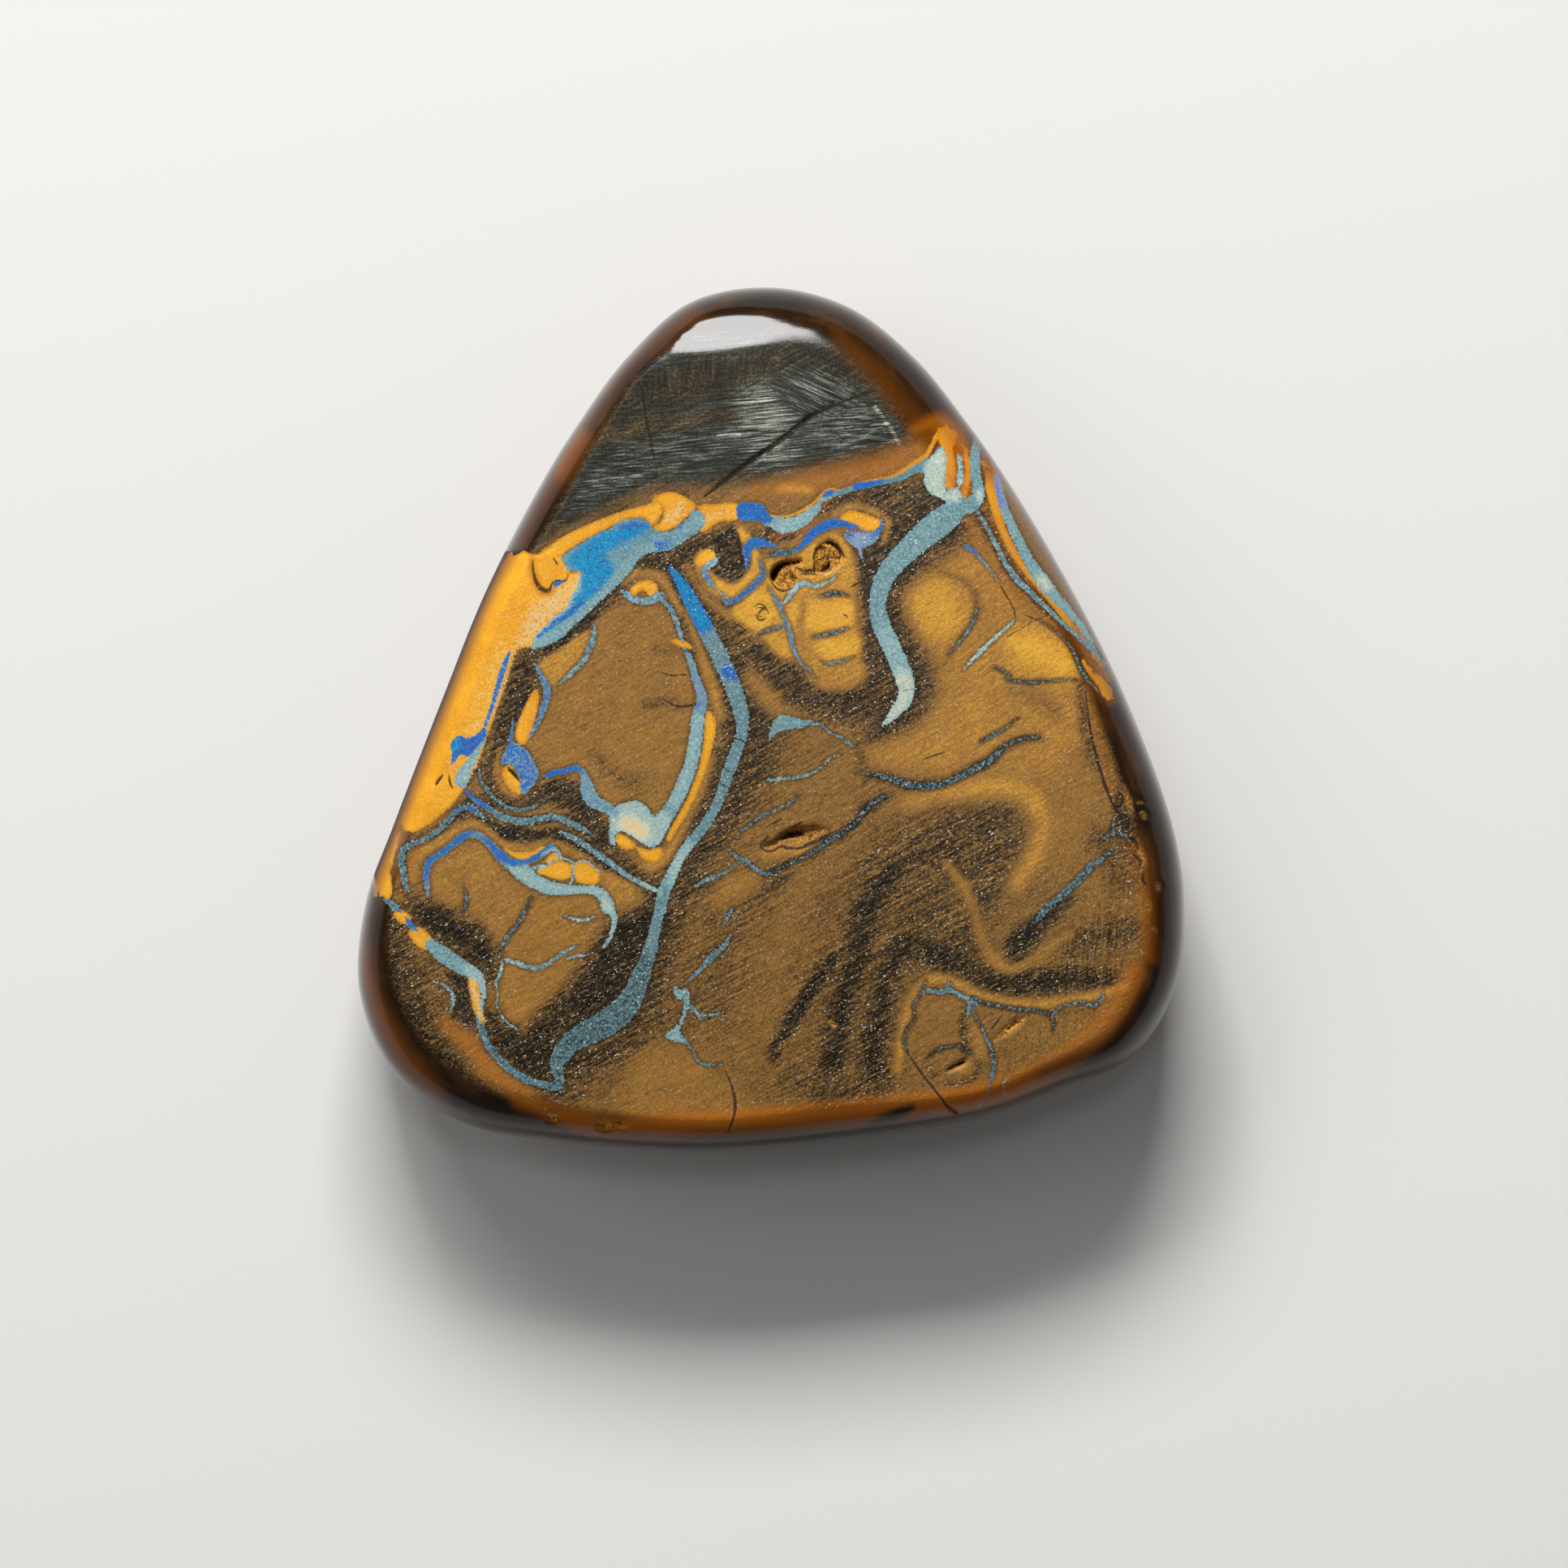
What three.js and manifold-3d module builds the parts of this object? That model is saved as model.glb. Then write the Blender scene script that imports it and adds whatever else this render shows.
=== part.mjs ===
// Polished boulder opal: one freeform stone of ironstone laced with opal.
// Seen from above it is a rounded triangle. A lapped, gently domed face runs out to a crisp edge,
// the shoulder rounds over from there to the girdle, and the underside tucks in to a flat back.
// Millimetres, +Z up. The stone lies on its back, the origin is under the middle of its outline,
// and +Y points to its narrow tip.
import * as THREE from "three";
import { mergeVertices } from "three/addons/utils/BufferGeometryUtils.js";
import Module from "manifold-3d";

const wasm = await Module();
wasm.setup();

// Driving dimensions
const LENGTH = 30.0; // along Y, tip to foot
const WIDTH = 28.7; // along X, across the two lower corners
const THICKNESS = 8.4; // from the flat back to the top of the dome
const DOME_RISE = 0.5; // the middle of the lapped face above its edge
const GIRDLE_HEIGHT = 3.9; // where the stone is widest
const BACK_INSET = 2.7; // the flat back lies this far inside the girdle
const SHOULDER_SWEEP = 74; // degrees of the shoulder's arc, short of 90 so that the lapped edge shows
const SHOULDER_FULLNESS = 1.6; // above 1 the shoulder stays upright for longer before it rounds over
const UNDERSIDE_START = 28; // degrees of the underside's arc where it leaves the flat back

// Mesh fineness
const AROUND = 132;
const UNDERSIDE_RINGS = 5;
const SHOULDER_RINGS = 8;
const FACE_RINGS = 9;

// The girdle's outline, clockwise from the tip: x, y, and how wide the shoulder is there.
const OUTLINE = [
  [0.0, 15.0, 2.0],
  [2.7, 14.3, 1.7],
  [5.0, 12.5, 1.9],
  [6.7, 10.4, 2.0],
  [8.1, 8.4, 1.2],
  [10.3, 4.7, 1.2],
  [12.2, 0.9, 1.4],
  [13.9, -3.7, 1.6],
  [14.3, -6.4, 1.6],
  [14.0, -9.3, 1.6],
  [12.5, -11.7, 1.5],
  [9.8, -12.9, 1.1],
  [7.3, -13.8, 1.0],
  [2.4, -14.6, 1.3],
  [-2.4, -15.0, 1.2],
  [-7.8, -14.6, 1.5],
  [-10.7, -14.0, 1.8],
  [-13.1, -12.3, 1.9],
  [-14.3, -9.5, 1.6],
  [-14.1, -6.4, 1.1],
  [-13.1, -3.6, 0.9],
  [-11.4, 0.8, 0.9],
  [-9.9, 4.5, 0.9],
  [-8.0, 8.2, 1.1],
  [-6.7, 10.3, 1.0],
  [-5.0, 12.6, 0.9],
  [-2.8, 14.5, 1.5],
];

// Hollows in the face: centre, half sizes along and across, depth, and the turn of the long side.
const PITS = [
  { at: [0.87, -4.0], half: [1.32, 0.42], depth: 0.6, turn: 14 }, // lens-shaped hollow in the middle
  { at: [0.5, 5.15], half: [0.62, 0.4], depth: 0.65, turn: 50 }, // deep vug
  { at: [1.95, 5.5], half: [0.62, 0.62], depth: 0.3, turn: 0 }, // shallow crumbly vug beside it
  { at: [1.2, 5.1], half: [0.55, 0.24], depth: 0.25, turn: 14 }, // trench that joins the two vugs
  { at: [-0.36, 3.65], half: [0.26, 0.26], depth: 0.12, turn: 0 }, // ring-shaped pinhole
  { at: [-10.6, -9.75], half: [0.92, 0.42], depth: 0.35, turn: -72 }, // weathered notch near the lower left
  { at: [6.55, -11.8], half: [0.36, 0.1], depth: 0.25, turn: 22 }, // slit near the foot
  { at: [-5.7, -13.95], half: [0.72, 0.2], depth: 0.3, turn: -6 }, // chip on the lower edge
  { at: [12.3, -2.6], half: [0.5, 0.26], depth: 0.2, turn: -66 }, // crumbly right edge, upper
  { at: [12.6, -4.6], half: [0.55, 0.24], depth: 0.22, turn: -80 }, // crumbly right edge, lower
];
// How uneven a hollow's wall is: share of its size, then waves a radius along and across.
const PIT_LUMP = { share: 0.13, along: 5, across: 4 };
const PIT_RIPPLE = { share: 0.08, along: 9, across: -7 };
const PIT_DETAIL = 3; // subdivisions of a hollow's wall

// The healed crack across the dark cap: points along it, and the groove's half width and depth.
const CRACK = {
  route: [
    [-2.25, 7.7],
    [-1.2, 8.6],
    [0.3, 9.6],
    [1.5, 10.55],
    [2.6, 11.05],
    [3.75, 11.4],
  ],
  halfWidth: 0.1,
  depth: 0.16,
  steps: 22,
};

// The flat ground on the tip: a point on its inner edge, that edge's turn and the tilt outwards, in degrees.
const TIP_FACET = { through: [-0.9, 12.88], turn: 5.9, tilt: 25 };

const WELD_GAP = 1e-4; // corners closer than this are one corner

const stoneMaterial = new THREE.MeshStandardMaterial({ color: 0x8a6026, roughness: 0.32, metalness: 0 });

const radians = THREE.MathUtils.degToRad;
const faceEdgeHeight = THICKNESS - DOME_RISE;

// The girdle as evenly spaced points, fitted to the driving length and width, each with its shoulder.
function girdlePoints() {
  const knots = OUTLINE.map(([x, y, shoulder]) => new THREE.Vector3(x, y, shoulder));
  const curve = new THREE.CatmullRomCurve3(knots, true, "centripetal");
  const points = curve.getSpacedPoints(AROUND).slice(0, AROUND);
  const box = new THREE.Box3().setFromPoints(points);
  const size = box.getSize(new THREE.Vector3());
  const middle = box.getCenter(new THREE.Vector3());
  return points.map((p) => ({
    x: ((p.x - middle.x) * WIDTH) / size.x,
    y: ((p.y - middle.y) * LENGTH) / size.y,
    shoulder: p.z,
  }));
}

const girdle = girdlePoints();

// Unit normals of the girdle that point into the stone.
const inward = girdle.map((_, i) => {
  const before = girdle[(i + AROUND - 1) % AROUND];
  const after = girdle[(i + 1) % AROUND];
  return new THREE.Vector2(after.y - before.y, before.x - after.x).normalize();
});

// One ring of the stone: the girdle moved in by inset(point) at one height.
function ring(height, inset) {
  return girdle.map((p, i) => {
    const d = inset(p);
    return [p.x + inward[i].x * d, p.y + inward[i].y * d, height];
  });
}

// Rings from the flat back up to the girdle, on an elliptical arc.
function undersideRings() {
  const rings = [];
  const start = radians(UNDERSIDE_START);
  for (let k = 0; k < UNDERSIDE_RINGS; k++) {
    const angle = start + ((Math.PI / 2 - start) * k) / UNDERSIDE_RINGS;
    const inset = (BACK_INSET * (1 - Math.sin(angle))) / (1 - Math.sin(start));
    const height = GIRDLE_HEIGHT * (1 - Math.cos(angle) / Math.cos(start));
    rings.push(ring(height, () => inset));
  }
  return rings;
}

// Rings from the girdle up to the lapped edge, on an elliptical arc as wide as the shoulder is.
function shoulderRings() {
  const rings = [];
  const sweep = radians(SHOULDER_SWEEP);
  for (let k = 0; k <= SHOULDER_RINGS; k++) {
    const angle = (sweep * k) / SHOULDER_RINGS;
    const share = ((1 - Math.cos(angle)) / (1 - Math.cos(sweep))) ** SHOULDER_FULLNESS;
    const height = GIRDLE_HEIGHT + ((faceEdgeHeight - GIRDLE_HEIGHT) * Math.sin(angle)) / Math.sin(sweep);
    rings.push(ring(height, (p) => p.shoulder * share));
  }
  return rings;
}

// Rings of the domed face, drawn in from the lapped edge towards the middle.
function faceRings(edge) {
  const rings = [];
  for (let k = 1; k < FACE_RINGS; k++) {
    const reach = 1 - k / FACE_RINGS;
    const height = faceEdgeHeight + DOME_RISE * (1 - reach * reach);
    rings.push(edge.map(([x, y]) => [x * reach, y * reach, height]));
  }
  return rings;
}

// A closed surface over stacked rings, with a middle point at each end.
function skin(rings) {
  const vertices = [...rings.flat(), [0, 0, 0], [0, 0, THICKNESS]];
  const backMiddle = rings.length * AROUND;
  const faceMiddle = backMiddle + 1;
  const lastRing = (rings.length - 1) * AROUND;
  const triangles = [];
  for (let i = 0; i < AROUND; i++) {
    const next = (i + 1) % AROUND;
    triangles.push(backMiddle, i, next);
    triangles.push(faceMiddle, lastRing + next, lastRing + i);
    for (let r = 0; r < rings.length - 1; r++) {
      const low = r * AROUND;
      const high = low + AROUND;
      triangles.push(low + i, high + next, low + next, low + i, high + i, high + next);
    }
  }
  const geometry = new THREE.BufferGeometry();
  geometry.setAttribute("position", new THREE.Float32BufferAttribute(vertices.flat(), 3));
  geometry.setIndex(triangles);
  return geometry;
}

// How far the lapped edge lies from the middle, in the direction of a point.
function edgeReach(x, y) {
  const facing = (p) => (p.x * x + p.y * y) / Math.hypot(p.x, p.y);
  const nearest = girdle.reduce((best, p) => (facing(p) > facing(best) ? p : best));
  return Math.hypot(nearest.x, nearest.y) - nearest.shoulder;
}

// The dome's height over a point, level with the lapped edge outside it.
function faceHeightAt(x, y) {
  const reach = Math.min(1, Math.hypot(x, y) / edgeReach(x, y));
  return faceEdgeHeight + DOME_RISE * (1 - reach * reach);
}

// A hollow's cutter: a lumpy ellipsoid sunk into the face.
function pitCutter({ at, half, depth, turn }) {
  const geometry = new THREE.IcosahedronGeometry(1, PIT_DETAIL);
  const corners = geometry.getAttribute("position");
  const p = new THREE.Vector3();
  for (let i = 0; i < corners.count; i++) {
    p.fromBufferAttribute(corners, i);
    const lump = Math.sin(PIT_LUMP.along * p.x + at[0]) * Math.sin(PIT_LUMP.across * p.y + at[1]);
    const ripple = Math.sin(PIT_RIPPLE.along * p.x + PIT_RIPPLE.across * p.y);
    p.multiplyScalar(1 + PIT_LUMP.share * lump + PIT_RIPPLE.share * ripple);
    corners.setXYZ(i, p.x, p.y, p.z);
  }
  geometry.scale(half[0], half[1], depth);
  geometry.rotateZ(radians(turn));
  geometry.translate(at[0], at[1], faceHeightAt(...at));
  return geometry;
}

// The crack's cutter: a diamond section swept along its route, its lower half in the stone.
function crackCutter({ route, halfWidth, depth, steps }) {
  const path = new THREE.CatmullRomCurve3(
    route.map(([x, y]) => new THREE.Vector3(x, y, faceHeightAt(x, y))),
    false,
    "centripetal",
  );
  const section = new THREE.Shape([
    new THREE.Vector2(-depth, 0),
    new THREE.Vector2(0, -halfWidth),
    new THREE.Vector2(depth, 0),
    new THREE.Vector2(0, halfWidth),
  ]);
  return new THREE.ExtrudeGeometry(section, { steps, extrudePath: path });
}

// A closed geometry as a solid that can be cut.
function solid(geometry) {
  const bare = new THREE.BufferGeometry().setAttribute("position", geometry.getAttribute("position"));
  if (geometry.index) bare.setIndex(geometry.index);
  const merged = mergeVertices(bare, WELD_GAP);
  return new wasm.Manifold(
    new wasm.Mesh({
      numProp: 3,
      vertProperties: new Float32Array(merged.getAttribute("position").array),
      triVerts: new Uint32Array(merged.index.array),
    }),
  );
}

// A body without what lies above the facet's plane.
function groundTip(body, { through, turn, tilt }) {
  const level = Math.sin(radians(tilt));
  const up = Math.cos(radians(tilt));
  const outward = [-Math.sin(radians(turn)) * level, Math.cos(radians(turn)) * level, up];
  const height = outward[0] * through[0] + outward[1] * through[1] + outward[2] * faceEdgeHeight;
  return body.trimByPlane(outward.map((v) => -v), -height);
}

// A solid as a geometry that can be drawn.
function geometryOf(body) {
  const mesh = body.getMesh();
  const geometry = new THREE.BufferGeometry();
  geometry.setAttribute("position", new THREE.Float32BufferAttribute(mesh.vertProperties, 3));
  geometry.setIndex([...mesh.triVerts]);
  geometry.computeVertexNormals();
  return geometry;
}

const shoulder = shoulderRings();
const tumbled = solid(skin([...undersideRings(), ...shoulder, ...faceRings(shoulder.at(-1))]));
const pebble = groundTip(tumbled, TIP_FACET);
const cutters = [...PITS.map(pitCutter), crackCutter(CRACK)];
const worn = cutters.reduce((body, cutter) => body.subtract(solid(cutter)), pebble);

const stone = new THREE.Mesh(geometryOf(worn), stoneMaterial);
stone.name = "stone";

const boulderOpal = new THREE.Group();
boulderOpal.name = "boulder_opal";
boulderOpal.add(stone);

export default boulderOpal;
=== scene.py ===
import math

import bpy
import numpy as np
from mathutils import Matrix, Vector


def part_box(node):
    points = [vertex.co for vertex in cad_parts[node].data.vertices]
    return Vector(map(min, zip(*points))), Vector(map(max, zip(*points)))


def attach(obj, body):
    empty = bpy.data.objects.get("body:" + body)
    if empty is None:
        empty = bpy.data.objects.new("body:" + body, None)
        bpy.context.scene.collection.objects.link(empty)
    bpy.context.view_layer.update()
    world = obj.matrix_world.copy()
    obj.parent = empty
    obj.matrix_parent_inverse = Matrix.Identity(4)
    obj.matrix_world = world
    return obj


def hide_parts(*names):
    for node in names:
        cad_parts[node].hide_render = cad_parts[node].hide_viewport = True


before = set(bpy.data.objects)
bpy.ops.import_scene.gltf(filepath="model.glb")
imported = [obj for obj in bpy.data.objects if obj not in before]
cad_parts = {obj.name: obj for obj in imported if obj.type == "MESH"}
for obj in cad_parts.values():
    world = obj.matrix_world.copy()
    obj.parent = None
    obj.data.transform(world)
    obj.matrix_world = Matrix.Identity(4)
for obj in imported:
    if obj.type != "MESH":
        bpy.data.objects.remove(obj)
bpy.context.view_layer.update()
stoneLow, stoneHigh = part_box("stone")
mm = 0.001
print("frame loaded, stone is", [round(v / mm, 2) for v in stoneHigh - stoneLow], "mm")

# how the photograph looks at the stone: straight down on the face, the tip up
photoView = {
    "side": 1932,                # pixels along each edge of the frame
    "overOrigin": (950, 886),    # the pixel over the middle of the stone
    "mmPerPixel": 0.028,         # at the height of the face
    "cameraHeight": 620,         # mm above the face
    "sensor": 36,                # mm
}


def toPixels(spots):
    perPixel = photoView["mmPerPixel"]
    overX, overY = photoView["overOrigin"]
    return np.stack([overX + spots[:, 0] / perPixel, overY - spots[:, 1] / perPixel], axis=1)


# studio: pale floor, two softboxes beyond the tip, one overhead, one on the left, and a low even fill
studio = {
    "floorSize": 3.0,
    "floorColor": (0.68, 0.67, 0.65),
    "floorRoughness": 0.8,
    "fill": 0.16,
    "lights": {
        # name: watts, width, depth, distance, degrees above the floor, compass degrees from +X
        "tipSoftbox": (2.32, 0.19, 0.13, 0.45, 41, 94),
        "topSoftbox": (0.09, 0.07, 0.05, 0.50, 81, 84),
        "tipEdgeSoftbox": (0.6, 0.14, 0.13, 0.45, 41, 116),
        "leftSoftbox": (0.3, 0.25, 0.25, 0.50, 45, 165),
    },
}


def setStage():
    scene = bpy.context.scene
    scene.view_settings.view_transform = "Standard"
    world = bpy.data.worlds.new("softRoom")
    world.use_nodes = True
    room = world.node_tree.nodes["Background"]
    room.inputs["Color"].default_value = (1, 1, 1, 1)
    room.inputs["Strength"].default_value = studio["fill"]
    scene.world = world

    half = studio["floorSize"] / 2
    mesh = bpy.data.meshes.new("floor")
    corners = [(-half, -half, 0), (half, -half, 0), (half, half, 0), (-half, half, 0)]
    mesh.from_pydata(corners, [], [(0, 1, 2, 3)])
    floor = bpy.data.objects.new("floor", mesh)
    paint = bpy.data.materials.new("palePaper")
    paint.use_nodes = True
    paper = paint.node_tree.nodes["Principled BSDF"]
    paper.inputs["Base Color"].default_value = (*studio["floorColor"], 1)
    paper.inputs["Roughness"].default_value = studio["floorRoughness"]
    mesh.materials.append(paint)
    scene.collection.objects.link(floor)

    for name, (watts, width, depth, distance, up, compass) in studio["lights"].items():
        lamp = bpy.data.lights.new(name, "AREA")
        lamp.shape = "RECTANGLE"
        lamp.energy, lamp.size, lamp.size_y = watts, width, depth
        holder = bpy.data.objects.new(name, lamp)
        up, compass = math.radians(up), math.radians(compass)
        aim = Vector((math.cos(up) * math.cos(compass), math.cos(up) * math.sin(compass), math.sin(up)))
        holder.location = aim * distance
        holder.rotation_euler = aim.to_track_quat("Z", "Y").to_euler()
        holder.visible_camera = False
        scene.collection.objects.link(holder)

    side, perPixel = photoView["side"], photoView["mmPerPixel"]
    lens = bpy.data.cameras.new("camera")
    lens.sensor_width = photoView["sensor"]
    lens.lens = photoView["sensor"] * photoView["cameraHeight"] / (side * perPixel)
    camera = bpy.data.objects.new("camera", lens)
    overX, overY = photoView["overOrigin"]
    camera.location = (
        (side / 2 - overX) * perPixel * mm,
        (overY - side / 2) * perPixel * mm,
        stoneHigh.z + photoView["cameraHeight"] * mm,
    )
    scene.collection.objects.link(camera)
    scene.camera = camera
    print("stage set")


# a smooth curve through given points, evenly tense so that it never loops between close ones
def smoothCurve(knots, closed=False, perSpan=6):
    points = np.array(knots, float)
    if closed:
        line = np.vstack([points[-1:], points, points[:2]])
    else:
        line = np.vstack([2 * points[0] - points[1], points, 2 * points[-1] - points[-2]])
    gap = np.sqrt(np.maximum(np.linalg.norm(np.diff(line[:, :2], axis=0), axis=1), 1e-6))
    t = np.linspace(0, 1, perSpan, endpoint=False)[:, None]
    spans = []
    for i in range(1, len(line) - 2):
        p0, p1, p2, p3 = line[i - 1:i + 3]
        g0, g1, g2 = gap[i - 1:i + 2]
        leave = g1 * ((p1 - p0) / g0 - (p2 - p0) / (g0 + g1)) + (p2 - p1)
        arrive = g1 * ((p3 - p2) / g2 - (p3 - p1) / (g1 + g2)) + (p2 - p1)
        spans.append(
            (2 * t**3 - 3 * t**2 + 1) * p1 + (t**3 - 2 * t**2 + t) * leave
            + (3 * t**2 - 2 * t**3) * p2 + (t**3 - t**2) * arrive
        )
    if not closed:
        spans.append(points[-1:])
    return np.vstack(spans)


def smoothStep(value):
    t = np.clip(value, 0, 1)
    return t * t * (3 - 2 * t)


# the stone's form in mm: outline clockwise from the tip as x, y and the width of the shoulder there
stoneForm = {
    "outline": [
        (0.0, 15.0, 2.0), (2.7, 14.3, 1.7), (5.0, 12.5, 1.9), (6.7, 10.4, 2.0), (8.1, 8.4, 1.2),
        (10.3, 4.7, 1.2), (12.2, 0.9, 1.4), (13.9, -3.7, 1.6), (14.3, -6.4, 1.6), (14.0, -9.3, 1.6),
        (12.5, -11.7, 1.5), (9.8, -12.9, 1.1), (7.3, -13.8, 1.0), (2.4, -14.6, 1.3), (-2.4, -15.0, 1.2),
        (-7.8, -14.6, 1.5), (-10.7, -14.0, 1.8), (-13.1, -12.3, 1.9), (-14.3, -9.5, 1.6), (-14.1, -6.4, 1.1),
        (-13.1, -3.6, 0.9), (-11.4, 0.8, 0.9), (-9.9, 4.5, 0.9), (-8.0, 8.2, 1.1), (-6.7, 10.3, 1.0),
        (-5.0, 12.6, 0.9), (-2.8, 14.5, 1.5),
    ],
    "domeRise": 0.5,
    "girdleHeight": 3.9,
    "backInset": 2.7,
    "shoulderSweep": 74,       # degrees
    "shoulderFullness": 1.6,   # over 1 keeps the shoulder square before it rounds over
    "undersideStart": 28,      # degrees
    "tipFacet": {"through": (-0.9, 12.88), "turn": 5.9, "tilt": 25, "blend": 0.05},
    "faceCells": 270,          # squares across the face, an even count
    "shoulderRings": 14,
    "ringCrowding": 1.4,       # over 1 gathers the shoulder's rings near the face
    "undersideRings": 6,
}


# girdle points, evenly spaced and fitted to the CAD box, with the shoulder's width and the way in
def girdleLine(around):
    line = smoothCurve(stoneForm["outline"], closed=True, perSpan=40)
    loop = np.vstack([line, line[:1]])
    run = np.concatenate([[0], np.cumsum(np.linalg.norm(np.diff(loop[:, :2], axis=0), axis=1))])
    even = np.linspace(0, run[-1], around, endpoint=False)
    line = np.stack([np.interp(even, run, loop[:, k]) for k in range(3)], axis=1)
    low, high = np.array(stoneLow)[:2] / mm, np.array(stoneHigh)[:2] / mm
    has = line[:, :2].min(0), line[:, :2].max(0)
    spots = low + (line[:, :2] - has[0]) * (high - low) / (has[1] - has[0])
    ahead = np.roll(spots, -1, axis=0) - np.roll(spots, 1, axis=0)
    inward = np.stack([ahead[:, 1], -ahead[:, 0]], axis=1)
    return spots, line[:, 2], inward / np.linalg.norm(inward, axis=1)[:, None]


# the flat ground at the tip: heights above it are cut away
def tipFacetHeight(spots, edgeHeight):
    facet = stoneForm["tipFacet"]
    turn = math.radians(facet["turn"])
    outward = (spots - facet["through"]) @ np.array([-math.sin(turn), math.cos(turn)])
    return edgeHeight - math.tan(math.radians(facet["tilt"])) * outward


# squares of the face laid out as a disc of even density, so that no pole crowds the middle
def discLayout(cells):
    ticks = np.linspace(-1, 1, cells + 1)
    across, up = np.meshgrid(ticks, ticks)
    wide = np.abs(across) > np.abs(up)
    reach = np.where(wide, across, up)
    other = np.where(wide, up, across) / np.where(reach == 0, 1, reach)
    turn = np.where(wide, math.pi / 4 * other, math.pi / 2 - math.pi / 4 * other)
    turn = np.where(reach < 0, turn + math.pi, turn)
    clockwise = ((math.pi / 2 - turn) / (2 * math.pi)) % 1.0
    return np.abs(reach).ravel(), clockwise.ravel()


def stoneShape():
    cells = stoneForm["faceCells"]
    around = 4 * cells
    top = stoneHigh.z / mm
    edgeHeight = top - stoneForm["domeRise"]
    girdleHeight = stoneForm["girdleHeight"]
    girdle, shoulder, inward = girdleLine(around)

    # face
    edge = girdle + inward * shoulder[:, None]
    reach, clockwise = discLayout(cells)
    place = clockwise * around
    before = np.floor(place).astype(int) % around
    share = (place - np.floor(place))[:, None]
    spots = reach[:, None] * (edge[before] * (1 - share) + edge[(before + 1) % around] * share)
    heights = edgeHeight + stoneForm["domeRise"] * (1 - reach**2)
    vertices = [np.column_stack([spots, heights])]
    fall = [np.zeros(len(spots))]   # 0 on the face, 1 at the girdle, 2 at the flat back
    rim = np.flatnonzero(reach > 1 - 1e-9)
    loop = np.zeros(around, int)
    loop[np.round(place[rim]).astype(int) % around] = rim
    row, column = np.meshgrid(np.arange(cells), np.arange(cells), indexing="ij")
    corner = (row * (cells + 1) + column).ravel()
    faces = np.column_stack([corner, corner + 1, corner + cells + 2, corner + cells + 1]).tolist()

    # shoulder and underside, ring by ring downwards
    rings = []
    sweep = math.radians(stoneForm["shoulderSweep"])
    for k in range(1, stoneForm["shoulderRings"] + 1):
        down = k / stoneForm["shoulderRings"]
        angle = sweep * (1 - down ** stoneForm["ringCrowding"])
        inset = ((1 - math.cos(angle)) / (1 - math.cos(sweep))) ** stoneForm["shoulderFullness"]
        height = girdleHeight + (edgeHeight - girdleHeight) * math.sin(angle) / math.sin(sweep)
        rings.append((girdle + inward * (shoulder * inset)[:, None], height, 1 - inset))
    start = math.radians(stoneForm["undersideStart"])
    for k in range(1, stoneForm["undersideRings"] + 1):
        down = k / stoneForm["undersideRings"]
        angle = math.pi / 2 + (start - math.pi / 2) * down
        inset = stoneForm["backInset"] * (1 - math.sin(angle)) / (1 - math.sin(start))
        height = girdleHeight * (1 - math.cos(angle) / math.cos(start))
        rings.append((girdle + inward * inset, height, 1 + down))
    count = len(spots)
    for ringSpots, height, down in rings:
        vertices.append(np.column_stack([ringSpots, np.full(around, height)]))
        fall.append(np.full(around, down))
        lower = count + np.arange(around)
        faces += np.column_stack([loop, np.roll(loop, -1), np.roll(lower, -1), lower]).tolist()
        loop = lower
        count += around
    vertices.append(np.zeros((1, 3)))
    fall.append(np.array([2.0]))
    faces += [(int(a), int(b), count) for a, b in zip(loop, np.roll(loop, -1))]

    vertices, fall = np.vstack(vertices), np.concatenate(fall)
    upper = fall < 1
    ground = tipFacetHeight(vertices[:, :2], edgeHeight)
    facet = smoothStep((vertices[:, 2] - ground) / stoneForm["tipFacet"]["blend"]) * upper
    vertices[upper, 2] = np.minimum(vertices[upper, 2], ground[upper])
    print("stone shape:", len(vertices), "points")
    return vertices, faces, fall, facet


# how marks are laid, in pixels
inkLook = {
    "reach": 30,          # how far around a mark its depth is known
    "thinnest": 12,       # narrower routes are laid as thin lines
    "farSide": 60.0,      # side and depth where no mark is near
    "farDepth": -30.0,
    "curveSteps": 5,      # straight pieces between two given points
    "thinFrom": 3,        # a thin line narrows this far off its edge, and past its ends
    "thinBeside": 1.5,
    "thinBeyond": 3,
    "agreeWithin": 6,     # thin lines this close share their left and right
    "tintSoftness": 3,
    "haloSoftness": 0.6,  # share of a halo's width
}


# beside one straight piece: offsets from its start, its run, share along it and gap to it
def besidePiece(spots, start, end):
    run = end[:2] - start[:2]
    off = spots - start[:2]
    share = off @ run / max(run @ run, 1e-9)
    gap = np.linalg.norm(off - np.clip(share, 0, 1)[:, None] * run, axis=1)
    return off, run, share, gap


def halfWidth(start, end, share):
    return (start[2] + np.clip(share, 0, 1) * (end[2] - start[2])) / 2


# how far each pixel spot lies inside a mark: a route of x, y, width or an outline of x, y
def depthInRoute(spots, line):
    depth = np.full(len(spots), -np.inf)
    for start, end in zip(line[:-1], line[1:]):
        off, run, share, gap = besidePiece(spots, start, end)
        depth = np.maximum(depth, halfWidth(start, end, share) - gap)
    return depth


def depthInPatch(spots, line):
    nearest = np.full(len(spots), np.inf)
    inside = np.zeros(len(spots), bool)
    for start, end in zip(line, np.roll(line, -1, axis=0)):
        off, run, share, gap = besidePiece(spots, start, end)
        nearest = np.minimum(nearest, gap)
        crosses = (start[1] > spots[:, 1]) != (end[1] > spots[:, 1])
        inside ^= crosses & (off[:, 0] < run[0] * off[:, 1] / (run[1] or 1e-9))
    return np.where(inside, nearest, -nearest)


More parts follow.
